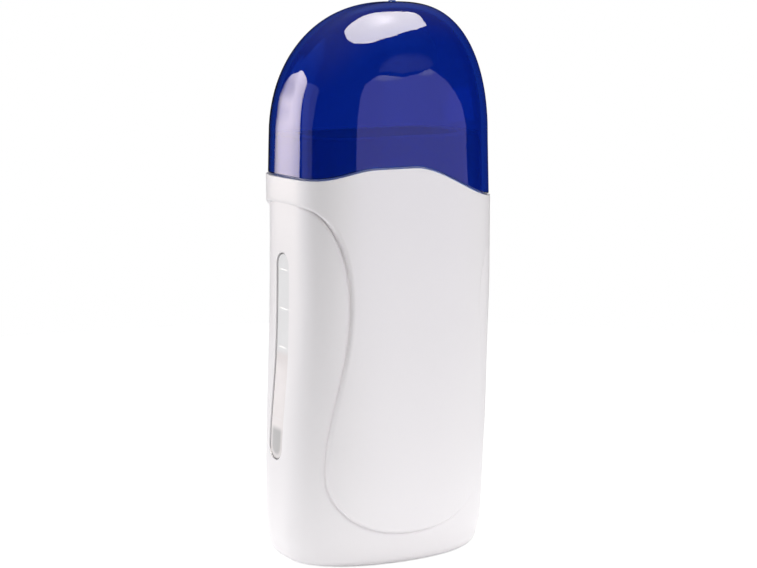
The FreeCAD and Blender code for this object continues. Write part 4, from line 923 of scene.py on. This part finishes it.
def moulded_plastic(name, colour, roughness, grain_mm=0.35, grain_depth=0.004, drift=0.03):
    """Opaque plastic with a fine mould grain, slight gloss changes and a faint colour drift."""
    graph = Graph(bpy.data.materials.new(name))
    broad, grain = graph.noise(28.0), graph.noise(grain_mm, 3.0)
    lowest = roughness - (GLOSS_DRIFT + GLOSS_GRAIN) / 2
    roughness = broad * GLOSS_DRIFT + grain * GLOSS_GRAIN + lowest
    return graph.plastic({
        "Base Color": graph.mix(broad, shade(colour, 1 - drift), shade(colour, 1 + drift)),
        "Roughness": roughness, "Normal": graph.bump(grain, grain_depth), "IOR": 1.5})


def clear_plastic(name, colour, roughness, ior=1.49, depth_colour=None, density=0.0):
    """See-through plastic with faint moulding waves. colour tints each wall that light passes,
    depth_colour and density add what a longer way inside takes away."""
    graph = Graph(bpy.data.materials.new(name))
    waves = graph.noise(22.0, 1.0)
    material = graph.plastic({
        "Base Color": graph.mix(waves, shade(colour, 0.985), shade(colour, 1.015)),
        "Roughness": waves * 0.02 + roughness, "IOR": ior, "Transmission Weight": 1.0,
        "Normal": graph.bump(waves, 0.012)})
    if density:
        inside = graph.node("ShaderNodeVolumeAbsorption", {},
                            {"Color": depth_colour, "Density": density})
        graph.tree.links.new(inside.socket, graph.tree.nodes["Material Output"].inputs["Volume"])
    return material


# %% [markdown]
# ## The window's cloudy plastic
# The strip is frosted from behind, so what lies there shows only as zones of tone: moulded ribs with a
# painted highlight, as if they caught a little light, a slightly warmer stretch below the third of
# them, where the sleeve's slot begins, and a field of painted shade at the low end, where the lamp
# sits in its pocket. Its rim is painted dark as shade, where the rounded edge bends the light away.

# %% Window material
WINDOW_RIB_SHARES = (0.085, 0.27, 0.455, 0.80)
WINDOW_RIBS = [WINDOW_HIGH_Z + (WINDOW_LOW_Z - WINDOW_HIGH_Z) * share for share in WINDOW_RIB_SHARES]
RIB_OUT, RIB_IN, LAMP_START, LAMP_END, WARM_LENGTH = 0.5, 0.1, 12.0, 9.5, 3.0
# how much of each tint is mixed in (the low end's shares are painted shade, the ribs' share a
# painted highlight), the colour of the ribs' painted highlight, the depth of the rim's painted
# shade, and the relief of clouds and ribs
CLOUD_SHARE, LAMP_CORE_SHADE_SHARE, LAMP_SHADE_SHARE, RIB_SHARE, RIM_SHARE = 0.1, 0.6, 0.3, 0.25, 0.9
RIB_HIGHLIGHT_COLOUR, RIM_SHADE, CLOUD_HEIGHT, RIB_HEIGHT = (0.98, 0.98, 0.98, 1.0), 0.12, 0.3, 0.25
print("window ribs at heights:", [round(z, 1) for z in WINDOW_RIBS])


def frosted_window(name, colour, warmer, shadow, clear):
    """Cloudy plastic with a painted highlight on its ribs, a warmer stretch, and painted shade at the low
    end and along the rim.
    """
    graph = Graph(bpy.data.materials.new(name))
    height = graph.node("ShaderNodeSeparateXYZ", {}, {"Vector": graph.place()}, output="Z")
    low = graph.ramp(height, (WINDOW_LOW_Z + LAMP_START) * MM, (WINDOW_LOW_Z + LAMP_END) * MM)
    warm = graph.ramp(height, WINDOW_RIBS[2] * MM, (WINDOW_RIBS[2] - WARM_LENGTH) * MM)
    rim, core, clouds = graph.attribute("rim"), graph.attribute("core"), graph.noise(7.0)
    ribs = 0.0
    for z in WINDOW_RIBS:
        off = graph.node("ShaderNodeMath", {"operation": "ABSOLUTE"}, {0: height - z * MM})
        ribs = ribs + graph.ramp(off, RIB_OUT * MM, RIB_IN * MM)
    ribs = ribs * core
    tint = graph.mix(warm, colour, warmer)
    # painted shade: the low end is darkened towards the shade colour, most in the strip's middle, for the
    # lamp's pocket behind it
    tint = graph.mix(clouds * CLOUD_SHARE + low * (core * LAMP_CORE_SHADE_SHARE + LAMP_SHADE_SHARE), tint, shadow)
    # painted highlight: the ribs are lightened towards near-white, as if they caught light
    tint = graph.mix(ribs * RIB_SHARE, tint, RIB_HIGHLIGHT_COLOUR)
    # painted shade: the rim is darkened strongly along the lens's rounded edge
    tint = graph.mix(rim * RIM_SHARE, tint, shade(shadow, RIM_SHADE))
    return graph.plastic({
        "Base Color": tint, "Roughness": clouds * 0.03 + 0.05, "IOR": 1.58,
        "Transmission Weight": clear, "Normal": graph.bump(clouds * CLOUD_HEIGHT + ribs * RIB_HEIGHT, 0.12)})


# %% [markdown]
# ## Metals and the list of materials
# Rolled, drawn and turned metal carries fine marks along the way it was worked. They are noise
# that is stretched along that way, and they move the roughness and tilt the normal a little. Most
# metal parts are hidden inside, but each still gets the finish that its real piece has.

# %% Metals, and which material each slot gets
METAL_GLOSS, MARKS_DEPTH = 0.18, 0.004


def worked_metal(name, colour, roughness, along=(1.0, 1.0, 1.0)):
    """Metal whose rolling or drawing marks run along the axis with the smallest scale."""
    graph = Graph(bpy.data.materials.new(name))
    where = graph.node("ShaderNodeMapping", {}, {"Vector": graph.place(), "Scale": along})
    marks, broad = graph.noise(0.5, 4.0, where), graph.noise(9.0)
    return graph.plastic({
        "Base Color": graph.mix(broad, shade(colour, 0.93), shade(colour, 1.04)), "Metallic": 1.0,
        "Roughness": marks * METAL_GLOSS + (roughness - METAL_GLOSS / 2),
        "Normal": graph.bump(marks, MARKS_DEPTH)})


CAP_WALL_COLOUR = (0.10, 0.28, 0.66, 1.0)
CAP_DEPTH_COLOUR, CAP_DENSITY = (0.03, 0.32, 0.735, 1.0), 680.0
# slot: name, colour, roughness, then what differs from the usual finish
PLASTICS = {
    "casing_white": ("white_abs", (242, 239, 241), 0.33, {"drift": 0.006}),
    "collar_white": ("white_polycarbonate", (236, 237, 238), 0.3, {"drift": 0.006}),
    "floor_plastic": ("natural_pps", (196, 188, 170), 0.45, {}),
    "holder_plastic": ("black_nylon", (38, 38, 40), 0.5, {}),
    "inlet_black": ("black_polyamide", (30, 30, 32), 0.42, {}),
    "wire_brown": ("brown_silicone", (112, 66, 40), 0.5, {"grain_mm": 0.6}),
    "wire_blue": ("blue_silicone", (44, 92, 170), 0.5, {"grain_mm": 0.6}),
    "film_amber": ("amber_film", (206, 138, 30), 0.22, {"grain_mm": 1.2, "grain_depth": 0.002}),
    "chip_ceramic": ("dark_ceramic", (74, 72, 70), 0.6, {"grain_mm": 0.12, "grain_depth": 0.01}),
    "resistor_body": ("lacquered_resistor", (200, 176, 128), 0.35, {"grain_depth": 0.008}),
    "glass_braid": ("glass_braid", (232, 228, 214), 0.7, {"grain_mm": 0.4, "grain_depth": 0.05}),
}
METALS = {
    "fuse_case": ("tin_plate", (206, 204, 198), 0.3, (0.1, 1.0, 1.0)),
    "sleeve_aluminium": ("drawn_aluminium", (216, 217, 219), 0.34, (1.0, 1.0, 0.04)),
    "heater_aluminium": ("extruded_aluminium", (206, 207, 210), 0.38, (1.0, 1.0, 0.05)),
    "contact_brass": ("rolled_brass", (214, 178, 104), 0.28, (0.08, 1.0, 1.0)),
    "terminal_brass": ("stamped_brass", (210, 172, 98), 0.3),
    "pin_brass": ("turned_brass", (222, 196, 140), 0.2, (1.0, 1.0, 8.0)),
    "spring_steel": ("spring_steel", (164, 166, 170), 0.26),
    "screw_steel": ("zinc_plated_steel", (188, 190, 194), 0.3),
    "lead_grey": ("tinned_copper", (196, 194, 190), 0.3),
}
materials = {
    "cap_blue": clear_plastic("deep_blue_acrylic", CAP_WALL_COLOUR, 0.01,
                              depth_colour=CAP_DEPTH_COLOUR, density=CAP_DENSITY),
    # the strip's third colour is its painted shade, for the low end and the rim
    "window_clear": frosted_window("clear_polycarbonate", rgb(255, 254, 255), rgb(253, 246, 246),
                                   rgb(194, 192, 192), 0.03),
    "lamp_glass": clear_plastic("lamp_glass", (0.97, 0.95, 0.93, 1.0), 0.01, 1.5),
}
for slot, (name, colour, roughness, special) in PLASTICS.items():
    materials[slot] = moulded_plastic(name, rgb(*colour), roughness, **special)
for slot, (name, colour, *finish) in METALS.items():
    materials[slot] = worked_metal(name, rgb(*colour), *finish)
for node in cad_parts.values():
    for slot in node.material_slots:
        slot.material = materials[slot.material.name.split(".")[0]]
for piece in (front_casing, rear_casing):
    piece.data.materials.append(materials["casing_white"])
cap_dome.data.materials.append(materials["cap_blue"])
window_lens.data.materials.append(materials["window_clear"])
print("materials:", len(materials))

# %% [markdown]
# ## The studio
# The object stands on a pale floor in a bright, even surround. Soft lamps from above, from the
# front and from behind on the left give the white casing its gentle shading. The lamps don't
# show in glossy surfaces. What the cap mirrors are panels of their own: a large soft one above,
# a tall strip behind on the left, and faint cards in front and at the side. Camera and
# see-through rays meet a white background, while the room that glossy surfaces mirror is darker.

# %% Floor
def disc(name, radius, z, count=128):
    """A flat disc of one face about the origin, in metres."""
    turn = np.linspace(0, 2 * np.pi, count, endpoint=False)
    points = np.stack([radius * np.cos(turn), radius * np.sin(turn), np.full(count, z)], axis=1)
    mesh = bpy.data.meshes.new(name)
    mesh.from_pydata(points.tolist(), [], [list(range(count))])
    made = bpy.data.objects.new(name, mesh)
    bpy.context.scene.collection.objects.link(made)
    return made


WHITE = (1.0, 1.0, 1.0, 1.0)
FLOOR_SEEN, FLOOR_GLOW, TABLE_GLOW = 0.55, 1.36, 0.74
# the ring's glow fades out between these distances from the middle, outwards and inwards
RING_OUTER, RING_INNER = (0.22, 0.04), (0.024, 0.05)
floor = disc("floor", 0.45, 0.0)
graph = Graph(bpy.data.materials.new("pale_floor"))
diffuse = graph.node("ShaderNodeBsdfDiffuse", {}, {"Color": rgb(244, 244, 245)})
glow = graph.node("ShaderNodeEmission", {}, {"Color": WHITE, "Strength": FLOOR_GLOW})
seen = graph.ray("Camera")
direct = seen.math("MAXIMUM", seen, graph.ray("Transmission"))
away = graph.node("ShaderNodeVectorMath", {"operation": "LENGTH"}, {0: graph.place()}, output="Value")
# the table throws light back up from a ring round the object, so the foot isn't dark
ring_light = graph.ramp(away, *RING_OUTER) * graph.ramp(away, *RING_INNER) * TABLE_GLOW
lit = direct * FLOOR_SEEN + (1.0 - direct) * ring_light
surface = graph.node("ShaderNodeMixShader", {}, {0: lit, 1: diffuse, 2: glow})
floor.data.materials.append(graph.finish(surface))
print("floor", round(floor.dimensions.x, 2), "m across")

# %% World
AMBIENT, GLOSSY_ROOM, GLOSSY_CEILING, CEILING_RISE = 0.265, 0.02, 0.3, (0.2, 0.9)
bpy.context.scene.world = bpy.data.worlds.new("studio")
graph = Graph(bpy.context.scene.world)
seen, glossy = graph.ray("Camera"), graph.ray("Glossy")
white = seen.math("MAXIMUM", seen, graph.ray("Transmission"))
direction = graph.node("ShaderNodeTexCoord", output="Generated")
upward = graph.node("ShaderNodeSeparateXYZ", {}, {"Vector": direction}, output="Z")
ceiling = graph.ramp(upward, *CEILING_RISE, GLOSSY_ROOM, GLOSSY_CEILING)
strength = white * (1.0 - AMBIENT) + AMBIENT - glossy * (1.0 - white) * (AMBIENT - ceiling)
background = graph.node("ShaderNodeBackground", {}, {"Color": WHITE, "Strength": strength})
graph.finish(background, "ShaderNodeOutputWorld")
print("nodes of the world:", len(graph.tree.nodes))

# %% Soft lights
TARGET = np.array([0.0, 0.0, 0.12])


def softbox(name, azimuth, elevation, distance, width, height, radiance):
    """Rectangular lamp that faces the object. Azimuth 0 is in front, and grows towards +X."""
    a, e = math.radians(azimuth), math.radians(elevation)
    out = np.array([math.sin(a) * math.cos(e), -math.cos(a) * math.cos(e), math.sin(e)])
    lamp = bpy.data.lights.new(name, "AREA")
    lamp.shape = "RECTANGLE"
    lamp.size, lamp.size_y = width, height
    lamp.energy = radiance * math.pi * width * height
    made = bpy.data.objects.new(name, lamp)
    made.location = TARGET + out * distance
    made.rotation_euler = (math.radians(90 - elevation), 0.0, math.radians(azimuth))
    made.visible_camera = made.visible_glossy = False
    bpy.context.scene.collection.objects.link(made)
    print(name, "gives", round(lamp.energy, 2), "watts")


softbox("overhead", 8, 58, 1.3, 1.6, 2.3, 1.04)
softbox("front_fill", 48, 12, 1.3, 1.2, 1.2, 1.06)
softbox("side_fill", -135, 12, 1.2, 1.0, 1.2, 2.7)

# %% Panels for the cap to mirror
PANEL_DISTANCE = 1.5


def panel(name, centre, corners, radiance, colour, soft, edge=1.0, distance=PANEL_DISTANCE):
    """A bright panel that shows in glossy surfaces only, as a fan of triangles about a centre.

    The centre and each corner are an azimuth and an elevation seen from the lamps' target, and how
    brightly the panel shines there, for corners the edge's glow where they don't say. The soft
    outer share of the panel leads from its full brightness to that of its corners."""
    corners = [(*corner, edge)[:3] for corner in corners]
    azimuth, elevation, glow = np.array([centre] + corners).T
    azimuth, elevation = np.radians(azimuth), np.radians(elevation)
    out = np.stack([np.sin(azimuth) * np.cos(elevation), -np.cos(azimuth) * np.cos(elevation),
                    np.sin(elevation)], axis=1)
    out = np.concatenate([out[:1] * soft + out[1:] * (1 - soft), out[1:], out[:1]])
    glow = np.concatenate([np.ones(len(corners)), glow[1:], glow[:1]])
    near = np.arange(len(corners))
    after = np.roll(near, -1)
    fan = np.stack([np.full(len(corners), 2 * len(corners)), near, after], axis=1)
    rim = np.stack([near, near + len(corners), after + len(corners), after], axis=1)
    mesh = bpy.data.meshes.new(name)
    mesh.from_pydata((TARGET + out * distance).tolist(), [], fan.tolist() + rim.tolist())
    mesh.attributes.new("glow", "FLOAT", "POINT").data.foreach_set("value", glow)
    graph = Graph(bpy.data.materials.new(name))
    light = {"Color": (*colour, 1.0), "Strength": graph.attribute("glow") * radiance}
    mesh.materials.append(graph.finish(graph.node("ShaderNodeEmission", {}, light)))
    made = bpy.data.objects.new(name, mesh)
    bpy.context.scene.collection.objects.link(made)
    made.visible_camera = made.visible_diffuse = made.visible_transmission = made.visible_shadow = False
    print(name, "has", len(corners), "corners")


panel("overhead_panel", (27, 50, 1.45), [
    (-90, 60), (-104, 63), (-116, 67.5), (-122, 72), (-132, 77), (-150, 81.5), (142, 86.5), (61, 78),
    (61, 67.5), (66.5, 59.5), (65, 57), (60, 53.5), (53, 47.5), (48, 42), (44, 36.5), (42, 31.5),
    (37, 29.5), (33, 26), (29, 24), (24.5, 23.4), (18, 24.7), (10, 25.5), (3, 27.4), (-8, 32), (-23, 38),
    (-38, 44.6), (-57, 52)], 17.2, (1.0, 0.94, 0.86), 0.5, 0.9)
panel("rear_panel", (-144, 4, 1.05), [
    (-136.0, -6, 0.6), (-134.3, -3, 0.65), (-133.6, 0, 0.7), (-133.6, 4.5, 0.7), (-133.6, 9.4, 0.8),
    (-131.8, 13), (-130.2, 16, 1.1), (-135.7, 17.2, 1.2), (-144.7, 17.6, 1.2), (-152, 17, 1.1),
    (-154, 15, 0.8), (-155, 12, 0.3), (-157, 9, 0), (-158.8, 5.8, 0), (-157, 0.7, 0), (-157.6, -3, 0.1),
    (-158.8, -6, 0.1), (-152, -6, 0.72), (-144, -6, 0.64)], 7.1, (1.0, 0.88, 0.82), 0.55)
panel("side_panel", (-112, 6, 1), [
    (-128, -6), (-98.5, -6), (-96.5, -2.5), (-96, 1.5), (-91, 7), (-89, 12.5), (-84.5, 17.4), (-98, 19, 1),
    (-114, 18.3, 1), (-128, 16.5, 1), (-130, 12, 0.9), (-130, 5)], 0.5, (1.0, 1.0, 1.6), 0.15, 0.8)
panel("front_panel", (28, -1, 1), [
    (6, -7, 0.9), (6.5, 4, 0.9), (9, 6.2, 0.9), (19, 6.2), (24, 5), (29.5, 3.4), (31, 4.2), (32.5, 5.4),
    (36, 3.9), (41, 2.1), (47, 0), (52, -4), (52, -7)], 0.98, (1.0, 0.88, 1.9), 0.02)
panel("upper_panel", (27, 8, 1), [
    (18.5, 7.2), (19.5, 10, 0.2), (26.8, 12, 0), (31, 12, 0), (33.5, 9.7, 0.2), (34, 7, 0.6), (33, 6.3),
    (31, 5), (29.3, 4.4), (24.5, 6)], 0.3, (1.0, 1.0, 1.2), 0.5, 0.9)
# two slim glints in front of the front card, along its upper edge
GLINT, GLINT_COLOUR, GLINT_DISTANCE = 1.9, (1.0, 0.92, 1.2), 1.45
panel("front_glint_left", (22, 4.9, 1), [
    (15.5, 5.9, 0.7), (20, 6.0), (25.5, 4.7), (29, 3.5, 0.9), (28.7, 2.8, 0.5), (23.5, 3.5, 0.5)],
      GLINT, GLINT_COLOUR, 0.5, distance=GLINT_DISTANCE)
panel("front_glint_right", (32.3, 4.7, 1), [
    (30.6, 4.1, 0.7), (31.4, 5.0), (32.7, 5.5), (33.8, 4.7, 0.8), (32.2, 3.6, 0.6), (30.8, 3.5, 0.6)],
      GLINT, GLINT_COLOUR, 0.5, distance=GLINT_DISTANCE)

# %% [markdown]
# ## The camera
# A long lens from the front left, tilted slightly down, keeps the casing's upright edges nearly
# parallel, as is usual for products.

# %% Camera
CAMERA_PLACE = np.array([-352.5, -610.5, 200.2]) * MM
CAMERA_TURN, CAMERA_TILT, CAMERA_LENS = -30.0, 8.8, 100.8
lens = bpy.data.cameras.new("camera")
lens.lens, lens.sensor_width = CAMERA_LENS, 36.0
camera = bpy.data.objects.new("camera", lens)
camera.location = CAMERA_PLACE
camera.rotation_euler = (math.radians(90 - CAMERA_TILT), 0.0, math.radians(CAMERA_TURN))
bpy.context.scene.collection.objects.link(camera)
bpy.context.scene.camera = camera
bpy.context.scene.view_settings.view_transform = "Standard"
print("camera at", CAMERA_PLACE.round(3), "with a lens of", CAMERA_LENS, "mm")
